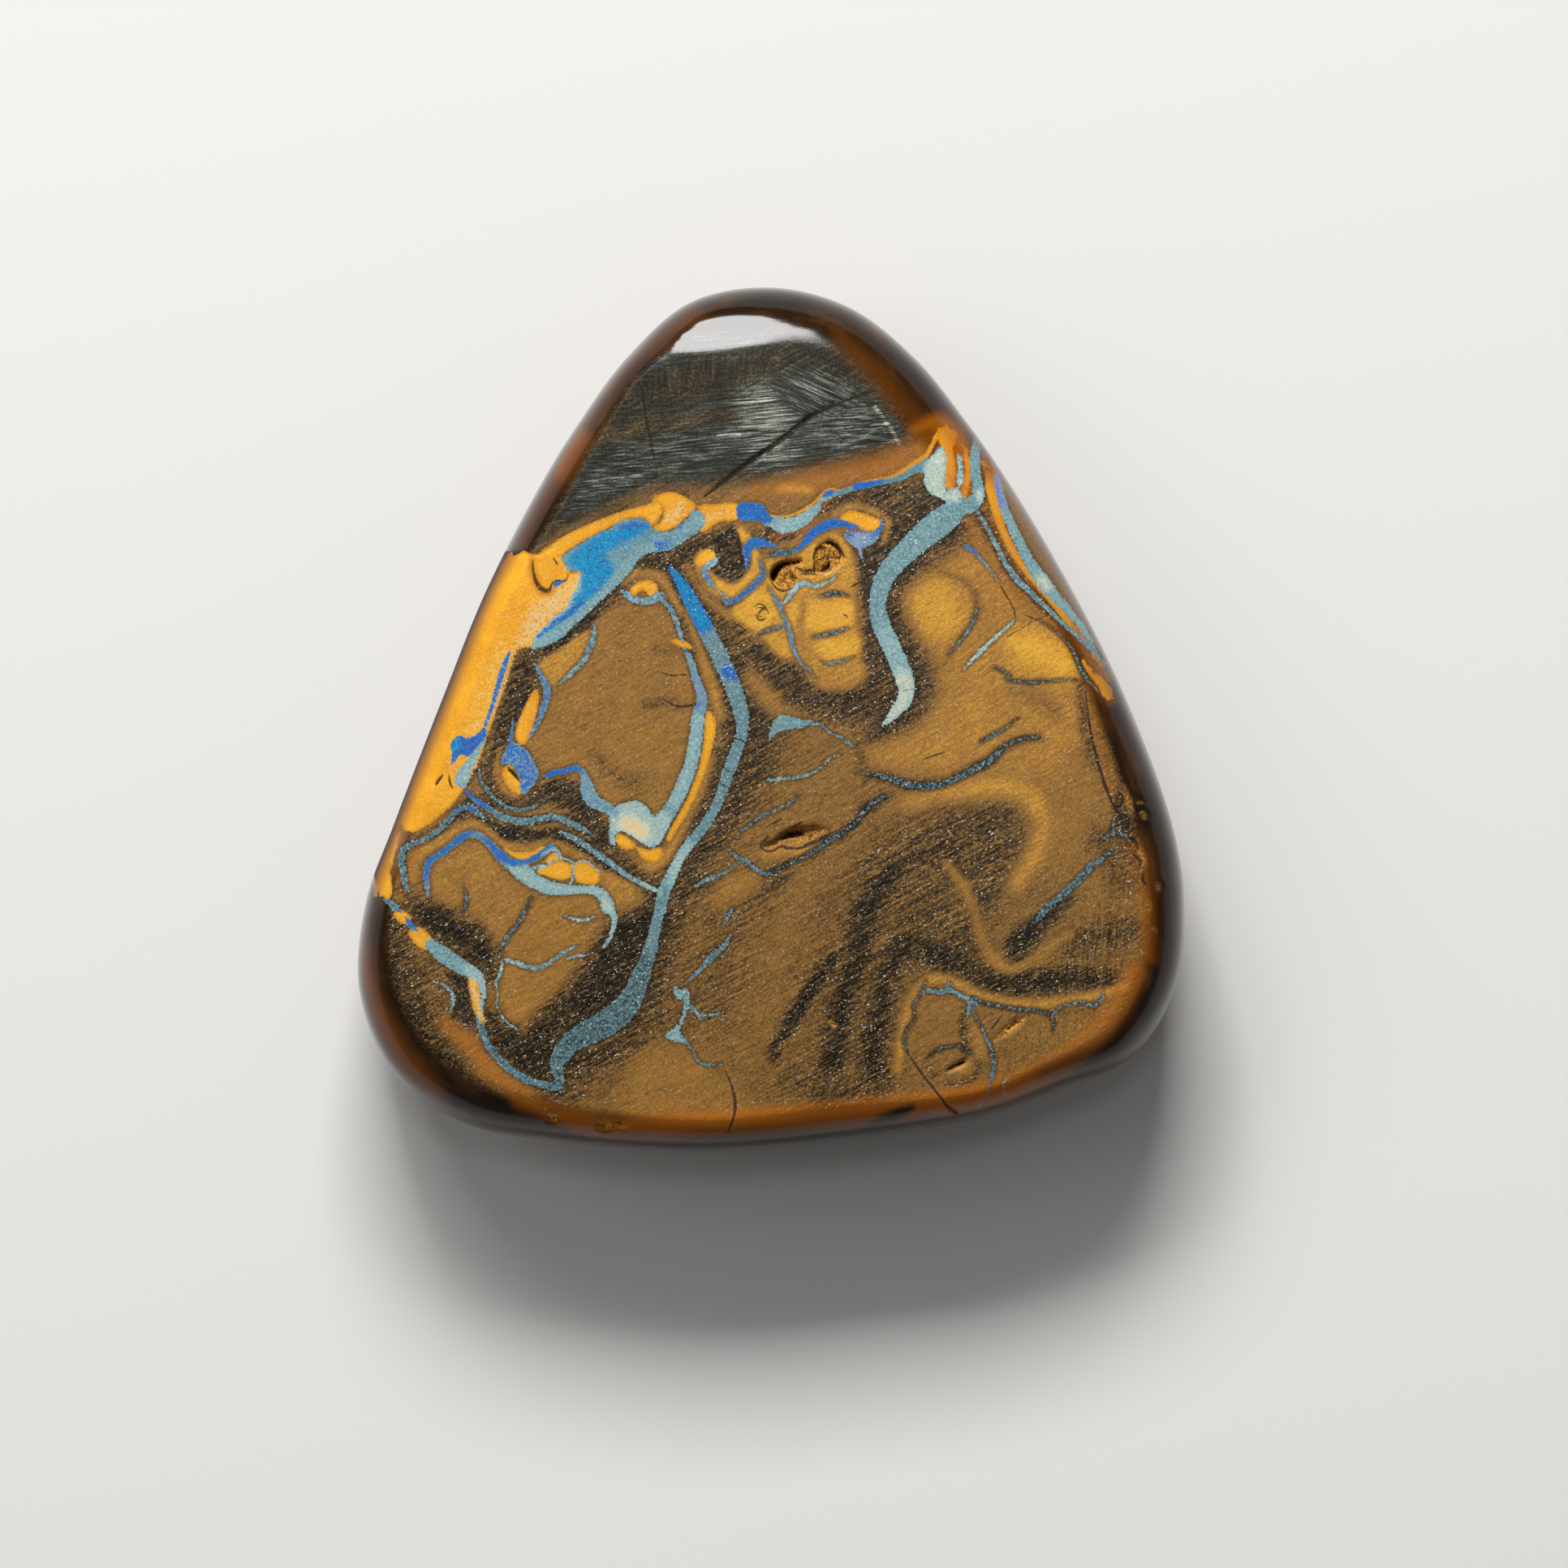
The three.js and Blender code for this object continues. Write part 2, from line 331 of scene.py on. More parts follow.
def nearLine(spots, line, room):
    low, high = line[:, :2].min(0) - room, line[:, :2].max(0) + room
    return np.flatnonzero(np.all((spots > low) & (spots < high), axis=1))


# the spots near a mark and their depth in it
def reachOf(spots, mark, margin):
    isRoute = len(mark[0]) == 3
    line = smoothCurve(mark, closed=not isRoute, perSpan=inkLook["curveSteps"])
    near = nearLine(spots, line, margin + (line[:, 2].max() / 2 if isRoute else 0))
    depth = depthInRoute(spots[near], line) if isRoute else depthInPatch(spots[near], line)
    return near, depth


# which side of a route's middle line each spot is on, in pixels, and the half width of the route there
def sideOfRoute(spots, line):
    side, half = np.full(len(spots), inkLook["farSide"]), np.full(len(spots), inkLook["farDepth"])
    last = len(line) - 2
    for i, (start, end) in enumerate(zip(line[:-1], line[1:])):
        off, run, share, gap = besidePiece(spots, start, end)
        past = np.maximum(0, -share) * (i == 0) + np.maximum(0, share - 1) * (i == last)
        wide = halfWidth(start, end, share)
        # thins out away from the route and past its ends
        slim = wide - inkLook["thinBeside"] * np.maximum(0, gap - wide - inkLook["thinFrom"])
        slim -= inkLook["thinBeyond"] * past * math.hypot(*run)
        nearer = slim - gap > half - np.abs(side)
        turned = np.where(off[:, 0] * run[1] > off[:, 1] * run[0], 1, -1)
        side[nearer] = (gap * turned)[nearer]
        half[nearer] = slim[nearer]
    return side, half


# ink with a crisp edge: broad marks keep their depth and thin lines their side,
# so that both stay sharp between mesh points
def addInk(fields, name, spots, mark):
    if len(mark[0]) == 2 or max(width for x, y, width in mark) > inkLook["thinnest"]:
        near, depth = reachOf(spots, mark, inkLook["reach"])
        fields[name][near] = np.maximum(fields[name][near], depth)
        return
    line = smoothCurve(mark, perSpan=inkLook["curveSteps"])
    near = nearLine(spots, line, inkLook["reach"])
    side, half = sideOfRoute(spots[near], line)
    hasSide, hasHalf = fields[name + "Side"], fields[name + "Half"]
    apart = np.abs(side) + np.abs(hasSide[near])
    shared = np.exp(-apart / inkLook["agreeWithin"]) * np.sign(side * hasSide[near])
    if shared.sum() < 0:
        side = -side   # agrees with the lines beside it, so that no false line runs between them
    nearer = half - np.abs(side) > hasHalf[near] - np.abs(hasSide[near])
    hasSide[near[nearer]], hasHalf[near[nearer]] = side[nearer], half[nearer]


# a soft wash pulls the field towards its value, fading to both sides of the mark's edge
def addWash(field, spots, mark, value, soft):
    near, depth = reachOf(spots, mark, soft)
    full = soft if len(mark[0]) == 2 else min(soft, max(width for x, y, width in mark) / 2)
    field[near] += (value - field[near]) * smoothStep((depth + soft) / (soft + full))


# opal veins: paleness (-1 slate, 0 blue-grey, 1 cream), vivid blue, halo (tone, width) or None, mark
opalVeins = {
    "river": (0.0, 0.0, (-0.62, 34), [
        (824, 697, 4), (842, 724, 15), (864, 764, 20), (900, 838, 20), (908, 860, 20), (914, 884, 17),
        (914, 904, 14), (901, 942, 15), (888, 980, 12), (879, 1000, 12), (866, 1020, 13), (848, 1042, 13),
        (836, 1060, 12), (827, 1080, 14), (818, 1100, 15), (813, 1122, 14), (808, 1142, 13),
        (803, 1164, 15), (796, 1186, 19), (788, 1206, 24), (780, 1226, 27), (768, 1244, 31),
        (748, 1260, 33), (724, 1272, 31), (704, 1284, 27), (692, 1298, 24), (686, 1312, 18),
        (688, 1326, 14), (689, 1340, 10)]),
    "rightBend": (0.15, 0.0, (-0.72, 38), [
        (1182, 622, 22), (1168, 636, 32), (1150, 650, 33), (1114, 682, 27), (1098, 700, 25),
        (1087, 718, 23), (1082, 738, 21), (1083, 758, 21), (1089, 778, 22), (1099, 798, 22),
        (1115, 838, 22), (1117, 852, 20), (1112, 866, 17), (1102, 878, 13), (1094, 888, 7),
        (1087, 894, 3)]),
    "contactLens": (0.3, 0.0, None, [
        (955, 637), (970, 638), (985, 634), (1000, 625), (1010, 615), (1018, 606), (1028, 604), (1033, 610),
        (1022, 614), (1012, 620), (1010, 630), (985, 652), (962, 657), (950, 650), (938, 643)]),
    "contactThread": (0.0, 0.3, None, [
        (1020, 608, 6), (1032, 607, 6), (1058, 599, 8), (1100, 591, 7), (1115, 586, 8), (1128, 578, 10),
        (1142, 573, 14)]),
    "junctionPatch": (0.75, 0.0, None, [
        (1138, 575), (1150, 560), (1160, 546), (1166, 565), (1164, 595), (1167, 605), (1180, 600),
        (1184, 612), (1172, 619), (1155, 612), (1142, 603), (1139, 590)]),
    "junctionBand": (0.1, 0.0, None, [
        (1205, 541, 10), (1202, 560, 12), (1202, 580, 12), (1205, 613, 16), (1193, 624, 18)]),
    "fingerGap": (0.5, 0.0, None, [(1182, 560, 6), (1184, 580, 8), (1182, 597, 8)]),
    "shoulderBand": (0.3, 0.0, None, [
        (1228, 585, 6), (1232, 605, 10), (1239, 630, 11), (1269, 692, 14), (1290, 722, 17), (1301, 735, 13),
        (1332, 770, 9), (1346, 792, 6), (1354, 806, 2)]),
    "rimThread": (0.05, 0.0, (-0.6, 12), [
        (1203, 628, 3), (1212, 642, 5), (1242, 698, 7), (1254, 714, 8), (1285, 744, 6), (1318, 775, 6),
        (1350, 803, 6), (1364, 817, 3)]),
    "rimSecond": (-0.7, 0.0, None, [
        (1278, 762, 1), (1300, 776, 3), (1320, 798, 4), (1337, 833, 5), (1362, 860, 1)]),
    "blueField": (0.1, 0.25, None, [
        (692, 687), (736, 657), (752, 650), (766, 641), (796, 640), (806, 652), (815, 656), (826, 654),
        (846, 640), (857, 627), (866, 634), (868, 648), (862, 655), (850, 661), (838, 671), (826, 677),
        (812, 680), (800, 681), (790, 686), (782, 697), (770, 712), (710, 768), (695, 783), (668, 798),
        (656, 799), (656, 792), (664, 778), (675, 768), (685, 757), (697, 749), (702, 738), (712, 720),
        (714, 704), (700, 703), (695, 695)]),
    "bluePatch": (0.0, 1.0, None, [
        (908, 622), (940, 622), (946, 632), (953, 640), (944, 645), (930, 641), (911, 640)]),
    "hookBlue": (0.1, 0.9, None, [(681, 722), (684, 714), (697, 718), (689, 721), (684, 726)]),
    "patchFringe": (-0.1, 0.8, None, [
        (628, 803, 5), (620, 824, 8), (608, 864, 7), (603, 880, 5), (597, 895, 6)]),
    "patchBlue": (0.0, 1.0, None, [
        (555, 917), (565, 906), (576, 909), (588, 904), (598, 895), (598, 912), (588, 922), (578, 932),
        (566, 931), (559, 940), (554, 942), (557, 930)]),
    "patchTail": (0.35, 0.0, None, [
        (598, 910), (583, 945), (571, 972), (560, 964), (563, 951), (572, 941)]),
    "eyeBase": (0.2, 0.3, None, [
        (769, 730, 8), (778, 737, 8), (790, 741, 9), (801, 740, 10), (812, 733, 12)]),
    "chamberRim": (0.1, 0.45, None, [
        (812, 737, 5), (822, 745, 6), (829, 755, 6), (838, 780, 6), (841, 791, 3)]),
    "chamberRimLow": (0.2, 0.5, None, [
        (842, 799, 3), (849, 809, 7), (861, 848, 11), (865, 860, 13), (859, 890, 16), (858, 906, 16),
        (851, 942, 17), (836, 980, 17), (825, 999, 18), (815, 1013, 20)]),
    "creamPool": (0.62, 0.0, None, [
        (752, 998), (765, 991), (778, 987), (790, 989), (798, 996), (806, 1006), (816, 1000), (826, 1006),
        (814, 1038), (804, 1044), (793, 1041), (784, 1034), (765, 1024), (758, 1030), (758, 1046),
        (752, 1040), (751, 1020)]),
    "blueThread": (0.0, 0.95, None, [
        (670, 957, 3), (680, 953, 7), (700, 949, 7), (710, 946, 8), (718, 951, 8)]),
    "paleFall": (0.25, 0.4, None, [
        (718, 951, 7), (722, 962, 12), (724, 974, 18), (730, 985, 18), (744, 994, 14), (757, 1000, 12)]),
    "eyeTear": (0.3, 0.65, None, [
        (629, 913), (650, 926), (657, 938), (663, 952), (659, 965), (652, 972), (646, 979), (641, 976),
        (640, 962), (634, 948), (626, 941), (619, 942), (619, 932), (624, 922)]),
    "tearLead": (0.1, 0.8, None, [(633, 884, 3), (628, 915, 6)]),
    "sliver": (0.05, 0.55, None, [
        (658, 816, 3), (670, 840, 9), (674, 851, 10), (667, 880, 8), (651, 911, 3)]),
    "chamberThread": (0.1, 0.15, None, [
        (732, 772, 5), (731, 785, 7), (718, 815, 7), (708, 825, 6), (698, 835, 5), (688, 843, 2)]),
    "innerEcho": (-0.3, 0.1, None, [
        (590, 948, 2), (594, 966, 5), (618, 990, 5), (634, 997, 5), (647, 997, 5), (661, 992, 4),
        (674, 984, 2)]),
    "bandA": (-0.15, 0.1, None, [
        (574, 975, 4), (582, 984, 6), (592, 990, 8), (618, 1006, 10), (632, 1011, 10), (650, 1012, 10),
        (668, 1008, 9), (685, 1007, 9), (715, 1020, 8), (728, 1027, 3)]),
    "bandB": (-0.3, 0.15, None, [
        (501, 1098, 6), (497, 1078, 9), (494, 1060, 9), (496, 1048, 9), (504, 1041, 8), (516, 1037, 8),
        (530, 1030, 8), (545, 1018, 8), (565, 997, 8), (575, 994, 8), (586, 1000, 8), (596, 1008, 4)]),
    "bandC": (0.0, 0.05, None, [
        (688, 1024, 3), (705, 1032, 7), (750, 1062, 8), (780, 1083, 7), (810, 1098, 6)]),
    "lowerOutline": (0.0, 0.8, None, [
        (528, 1106, 3), (526, 1092, 6), (525, 1076, 7), (528, 1063, 8), (548, 1048, 8), (572, 1030, 9),
        (583, 1028, 9), (594, 1032, 9), (605, 1042, 9), (614, 1052, 13), (626, 1061, 12), (640, 1063, 8),
        (654, 1060, 8), (667, 1052, 8), (680, 1042, 6)]),
    "lowerPale": (0.5, 0.0, None, [
        (618, 1064), (634, 1068), (650, 1067), (662, 1077), (678, 1085), (700, 1090), (720, 1091),
        (738, 1092), (757, 1114), (752, 1126), (743, 1124), (738, 1110), (728, 1102), (690, 1103),
        (670, 1101), (640, 1085), (628, 1074)]),
    "netA": (0.5, 0.2, None, [
        (668, 1053, 3), (684, 1046, 6), (690, 1056, 4), (704, 1062, 3), (706, 1078, 4), (703, 1090, 3)]),
    "netB": (0.5, 0.1, None, [(690, 1056, 2), (674, 1066, 4), (656, 1070, 5)]),
    "netC": (0.4, 0.1, None, [(705, 1062, 2), (722, 1061, 3), (738, 1074, 2)]),
    "rightSquiggle": (-0.55, 0.0, None, [
        (1356, 1036, 2), (1366, 1029, 5), (1378, 1027, 5), (1388, 1031, 5), (1394, 1041, 2)]),
    "rightSpur": (-0.65, 0.0, None, [(1366, 1029, 3), (1372, 1017, 4), (1374, 1005, 1)]),
    "lowerTail": (0.5, 0.0, None, [
        (752, 1120, 9), (757, 1131, 8), (755, 1146, 6), (750, 1158, 5), (743, 1168, 2)]),
    "twigOne": (-0.55, 0.2, None, [(573, 1097, 2), (574, 1108, 5), (573, 1118, 5), (566, 1129, 3)]),
    "twigTwo": (-0.5, 0.1, None, [
        (656, 1104, 2), (648, 1120, 5), (635, 1143, 5), (625, 1155, 5), (618, 1168, 4), (614, 1182, 2)]),
    "twigThree": (0.05, 0.1, None, [
        (621, 1182, 4), (632, 1185, 6), (657, 1193, 6), (670, 1190, 6), (682, 1183, 5), (692, 1175, 5),
        (713, 1164, 2)]),
    "twigFour": (0.5, 0.0, None, [(694, 1129, 2), (718, 1134, 5), (736, 1128, 2)]),
    "twigFive": (0.4, 0.0, None, [
        (619, 1188, 4), (616, 1200, 4), (611, 1210, 3), (613, 1225, 2), (612, 1240, 2), (620, 1255, 2),
        (631, 1265, 4), (638, 1268, 2)]),
    "twigSix": (0.4, 0.0, None, [(698, 1182, 2), (710, 1178, 4), (723, 1177, 3)]),
    "flankHead": (-0.1, 0.2, None, [(472, 1108, 4), (482, 1114, 9), (490, 1121, 8)]),
    "flankMid": (-0.1, 0.4, None, [(501, 1133, 6), (506, 1141, 9), (511, 1146, 5)]),
    "flankBand": (0.2, 0.1, None, [
        (530, 1164, 14), (545, 1176, 19), (575, 1195, 17), (588, 1202, 13), (594, 1214, 8), (595, 1228, 6),
        (593, 1244, 4)]),
    "flankTail": (-0.25, 0.25, None, [
        (588, 1256, 6), (594, 1270, 9), (599, 1284, 9), (619, 1310, 9), (646, 1329, 9), (675, 1338, 10),
        (690, 1341, 8)]),
    "notchLip": (0.35, 0.0, None, [
        (533, 1209, 2), (548, 1215, 4), (557, 1225, 5), (558, 1237, 5), (555, 1244, 2)]),
    "hookCrescent": (0.2, 0.6, None, [
        (864, 701, 3), (868, 706, 7), (872, 714, 8), (877, 721, 6), (880, 726, 2)]),
    "hookBrow": (0.45, 0.35, None, [(866, 700, 5), (873, 696, 9), (881, 692, 9), (885, 687, 4)]),
    "hookTail": (0.3, 0.3, None, [(886, 728, 2), (893, 735, 4), (902, 742, 2)]),
    "hookRoot": (-0.3, 0.6, None, [
        (893, 746, 3), (904, 741, 7), (937, 713, 8), (941, 705, 7), (934, 687, 1)]),
    "blockBlue": (0.0, 0.95, None, [
        (920, 701, 3), (920, 688, 6), (921, 678, 11), (927, 670, 13), (936, 668, 11), (946, 671, 7),
        (957, 673, 2)]),
    "upperDark": (-0.6, 0.45, (0.35, 14), [(945, 685, 2), (955, 682, 7), (980, 678, 7), (990, 673, 3)]),
    "upperBlue": (0.0, 1.0, (0.35, 16), [
        (982, 677, 3), (992, 668, 9), (1003, 656, 12), (1026, 645, 12), (1052, 648, 7), (1061, 650, 2)]),
    "lensUnder": (0.1, 0.8, None, [
        (1048, 656, 6), (1062, 659, 9), (1075, 659, 8), (1083, 653, 7), (1087, 645, 5), (1086, 639, 3)]),
    "violetDrop": (0.35, 0.6, None, [(1040, 658), (1055, 661), (1084, 657), (1078, 668), (1056, 676)]),
    "violetTail": (0.2, 0.7, None, [(1060, 674, 5), (1061, 684, 4), (1064, 692, 2)]),
    "paleThread": (0.6, 0.4, None, [
        (965, 744, 3), (971, 737, 6), (976, 729, 7), (983, 722, 8), (993, 718, 6), (1002, 722, 6),
        (1022, 716, 4), (1033, 708, 1)]),
    "longThread": (-0.05, 0.4, None, [
        (947, 723, 2), (954, 735, 4), (972, 775, 6), (978, 800, 5), (988, 818, 3), (997, 825, 3),
        (1006, 836, 1)]),
    "dashOne": (-0.75, 0.0, None, [(1010, 735, 2), (1020, 732, 6), (1032, 731, 6), (1046, 734, 2)]),
    "dashTwo": (-0.6, 0.25, None, [(1000, 785, 3), (1026, 780, 6), (1046, 773, 2)]),
    "dashThree": (-0.3, 0.1, None, [(1011, 814, 1), (1021, 818, 4), (1036, 815, 4), (1055, 808, 1)]),
    "dashFour": (-0.6, 0.1, None, [(934, 782, 1), (945, 777, 5), (956, 774, 5), (968, 771, 1)]),
    "eyeArc": (-0.3, 0.0, None, [(1204, 747, 1), (1200, 764, 4), (1181, 793, 3), (1168, 807, 1)]),
    "blueArc": (0.0, 0.75, None, [(1186, 671, 1), (1194, 674, 6), (1212, 692, 3), (1232, 718, 2)]),
    "whiteDash": (0.7, 0.0, None, [
        (1251, 762, 2), (1243, 771, 4), (1230, 782, 5), (1205, 806, 6), (1194, 817, 4), (1186, 827, 1)]),
    "fieldSlate": (-0.75, 0.0, None, [(1238, 837, 2), (1270, 841, 5), (1290, 839, 4), (1328, 837, 1)]),
    "fieldSpur": (-0.6, 0.0, None, [(1222, 821, 2), (1234, 826, 4), (1246, 833, 3)]),
    "slateSwing": (-0.65, 0.15, (-0.35, 8), [
        (1060, 952, 2), (1075, 955, 4), (1090, 957, 6), (1120, 967, 9), (1140, 969, 9), (1160, 966, 9),
        (1175, 961, 8), (1205, 945, 9), (1220, 937, 9), (1232, 925, 7), (1245, 916, 5), (1260, 910, 4),
        (1282, 908, 2)]),
    "slateDash": (-0.7, 0.0, None, [(1208, 914, 4), (1222, 906, 6), (1236, 899, 4), (1256, 883, 2)]),
    "paleWedge": (0.15, 0.0, None, [
        (947, 911), (955, 886), (965, 881), (985, 886), (1002, 889), (990, 896), (962, 901)]),
    "wedgeTail": (-0.2, 0.0, None, [
        (1000, 891, 4), (1012, 893, 4), (1022, 902, 3), (1035, 908, 4), (1047, 917, 3), (1059, 921, 1)]),
    "midTwig": (0.1, 0.0, None, [
        (938, 961, 1), (955, 961, 4), (1000, 953, 3), (1012, 945, 2), (1024, 934, 2), (1036, 930, 1)]),
    "slantOne": (-0.45, 0.1, None, [
        (909, 1027, 3), (940, 1005, 5), (955, 998, 4), (970, 992, 4), (986, 979, 2)]),
    "slantTwo": (-0.8, 0.0, (-0.4, 10), [
        (1092, 979, 4), (1075, 990, 7), (1065, 1000, 6), (1052, 1015, 6), (1040, 1025, 6), (1025, 1033, 7),
        (995, 1053, 6), (980, 1060, 5), (946, 1077, 3)]),
    "slantThree": (-0.3, 0.15, None, [
        (896, 1044, 3), (907, 1055, 5), (920, 1062, 6), (930, 1070, 5), (945, 1077, 5), (960, 1078, 2)]),
    "slantFour": (-0.2, 0.1, None, [
        (857, 1093, 4), (865, 1086, 5), (875, 1083, 5), (897, 1073, 3), (908, 1064, 2)]),
    "slantFive": (-0.2, 0.2, None, [(903, 1118, 2), (897, 1130, 4), (891, 1139, 3)]),
    "slantSix": (-0.1, 0.25, None, [
        (901, 1150, 3), (895, 1162, 5), (875, 1182, 7), (855, 1202, 5), (845, 1210, 3)]),
    "crumbOne": (0.3, 0.0, None, [
        (832, 1219, 8), (838, 1226, 12), (845, 1222, 8), (846, 1236, 6), (838, 1263, 5)]),
    "crumbTwo": (0.35, 0.0, None, [
        (820, 1275), (828, 1268), (837, 1261), (839, 1275), (846, 1281), (848, 1291), (841, 1285),
        (826, 1282)]),
    "crumbThree": (0.1, 0.0, None, [(848, 1237, 3), (858, 1247, 4), (862, 1257, 3)]),
    "crumbFour": (0.2, 0.0, None, [(862, 1251, 3), (880, 1250, 4), (896, 1246, 2)]),
    "lobeEdge": (-0.2, 0.2, None, [
        (846, 1284, 3), (855, 1298, 3), (862, 1309, 4), (875, 1312, 4), (891, 1312, 2)]),
    "diagonal": (-0.45, 0.2, None, [
        (1374, 1043, 2), (1358, 1058, 7), (1345, 1068, 9), (1318, 1095, 10), (1305, 1107, 9),
        (1292, 1118, 9), (1280, 1130, 7), (1272, 1140, 3)]),
    "eggTop": (-0.15, 0.1, None, [
        (1132, 1222, 3), (1145, 1221, 6), (1158, 1223, 6), (1170, 1221, 5), (1197, 1236, 8),
        (1194, 1246, 6), (1191, 1255, 2)]),
    "eggLeft": (-0.6, 0.1, None, [
        (1142, 1206, 1), (1137, 1218, 3), (1130, 1232, 3), (1125, 1238, 4), (1127, 1248, 3),
        (1126, 1258, 3), (1118, 1267, 4), (1114, 1285, 4), (1118, 1298, 1)]),
    "eggSpur": (-0.2, 0.1, None, [(1173, 1219, 5), (1169, 1209, 2)]),
    "eggRight": (-0.5, 0.1, None, [
        (1199, 1246, 2), (1220, 1290, 5), (1224, 1305, 6), (1224, 1318, 6), (1217, 1347, 4),
        (1202, 1369, 1)]),
    "eggArc": (-0.9, 0.0, None, [
        (1143, 1302, 2), (1156, 1293, 4), (1170, 1290, 4), (1182, 1289, 4), (1190, 1295, 4),
        (1198, 1297, 2)]),
    "footLine": (-0.85, 0.05, None, [
        (1198, 1229, 5), (1210, 1235, 5), (1250, 1243, 5), (1285, 1247, 5), (1295, 1252, 5),
        (1299, 1262, 4), (1297, 1272, 2)]),
    "footBranch": (-0.45, 0.1, None, [
        (1297, 1251, 3), (1305, 1242, 4), (1320, 1237, 5), (1335, 1236, 5), (1348, 1239, 6),
        (1357, 1232, 4), (1360, 1224, 2)]),
    "footThread": (0.3, 0.0, None, [(1248, 1327, 1), (1239, 1331, 3), (1236, 1340, 3), (1240, 1353, 1)]),
}

# golden limonite with crisp edges, each a route or an outline
goldMarks = {
    "patch": [
        (640, 678), (660, 683), (672, 679), (699, 691), (702, 704), (716, 704), (717, 720), (707, 740),
        (704, 751), (690, 757), (680, 769), (664, 786), (657, 796), (640, 799), (637, 802), (614, 868),
        (603, 897), (590, 937), (556, 992), (508, 1026), (495, 1022), (482, 1055), (481, 1080), (483, 1098),
        (478, 1109), (470, 1106), (452, 1064), (400, 1000), (500, 800), (580, 690)],
    "upperBand": [
        (666, 680), (680, 670), (700, 657), (760, 632), (800, 621), (812, 619), (817, 629), (812, 638),
        (806, 646), (800, 645), (795, 639), (780, 638), (765, 642), (750, 650), (735, 657), (700, 678),
        (690, 686)],
    "blob": [
        (801, 613), (812, 609), (825, 606), (838, 609), (848, 615), (858, 622), (852, 632), (841, 641),
        (833, 649), (811, 655), (803, 651), (812, 645), (817, 637), (818, 628), (814, 620)],
    "block": [
        (858, 624), (880, 621), (909, 621), (909, 640), (890, 642), (878, 648), (866, 656), (858, 650),
        (868, 640)],
    "eyeArch": [
        (777, 733), (777, 725), (784, 718), (795, 715), (806, 717), (811, 724), (809, 732), (802, 737),
        (793, 727), (787, 728), (782, 735)],
    "rimLens": [(660, 848), (664, 860), (650, 912), (643, 918), (636, 912), (635, 900)],
    "tearHeart": [(618, 950), (624, 943), (633, 944), (644, 966), (646, 975), (638, 979), (620, 962)],
    "fringeStrip": [(634, 803, 3), (624, 832, 5), (602, 896, 4), (599, 908, 2)],
    "paleRimGold": [
        (873, 880, 8), (875, 892, 14), (874, 908, 13), (867, 942, 10), (854, 978, 9), (838, 1009, 9),
        (830, 1022, 8), (824, 1034, 7)],
    "rimTag": [(830, 790, 5), (840, 793, 9), (850, 797, 6)],
    "poolSpotOne": [(759, 1028), (770, 1030), (784, 1043), (775, 1047), (764, 1044), (759, 1036)],
    "poolSpotTwo": [
        (784, 1043), (800, 1047), (813, 1044), (817, 1052), (808, 1062), (795, 1060), (787, 1052)],
    "fragmentOne": [(660, 1074), (690, 1061), (702, 1065), (704, 1080), (692, 1084), (675, 1080)],
    "fragmentTwo": [(707, 1063), (722, 1062), (738, 1076), (736, 1089), (718, 1089), (708, 1083)],
    "fragmentThree": [(672, 1059), (684, 1050), (692, 1053), (694, 1060), (684, 1063), (674, 1066)],
    "lowerScallop": [(622, 1046, 3), (634, 1053, 7), (646, 1055, 9), (658, 1051, 7), (670, 1043, 4)],
    "lensGold": [
        (1034, 641), (1038, 634), (1048, 629), (1075, 636), (1084, 640), (1086, 647), (1080, 653),
        (1070, 655), (1060, 652), (1050, 646)],
    "hookGold": [(858, 697), (857, 688), (863, 680), (872, 676), (880, 679), (882, 687), (877, 693)],
    "contactLine": [
        (944, 634, 3), (960, 637, 3), (980, 633, 4), (1000, 622, 4), (1022, 603, 4), (1040, 605, 4),
        (1065, 594, 4), (1100, 587, 5), (1116, 578, 6), (1130, 568, 6), (1141, 561, 6), (1148, 549, 6),
        (1154, 538, 4)],
    "fingerOne": [(1163, 530, 5), (1165, 544, 11), (1168, 560, 15), (1170, 580, 15), (1170, 598, 12)],
    "fingerTwo": [(1189, 546, 4), (1191, 560, 8), (1193, 580, 8), (1187, 614, 8)],
    "rimStrip": [
        (1214, 566, 9), (1221, 592, 17), (1233, 646, 10), (1252, 685, 9), (1262, 700, 8), (1290, 732, 9),
        (1320, 768, 8), (1348, 797, 7), (1360, 813, 4)],
    "rimStripLow": [(1334, 812, 4), (1346, 830, 9), (1358, 844, 9), (1370, 858, 5)],
    "flankOne": [(484, 1126), (491, 1120), (507, 1131), (503, 1138), (495, 1139)],
    "flankTwo": [(502, 1148), (510, 1143), (520, 1144), (530, 1153), (534, 1163), (528, 1170), (517, 1168)],
    "peachFinger": [
        (576, 1203), (588, 1205), (592, 1225), (595, 1245), (598, 1264), (590, 1258), (583, 1245),
        (579, 1225)],
}

# two lines that the cap and the tone under it share
capBrowLine = [
    (780, 500, 20), (820, 478, 44), (870, 464, 56), (920, 452, 50), (1000, 438, 30), (1056, 462, 18)]
capLeftLine = [(660, 664, 10), (742, 512, 16), (772, 468, 14)]

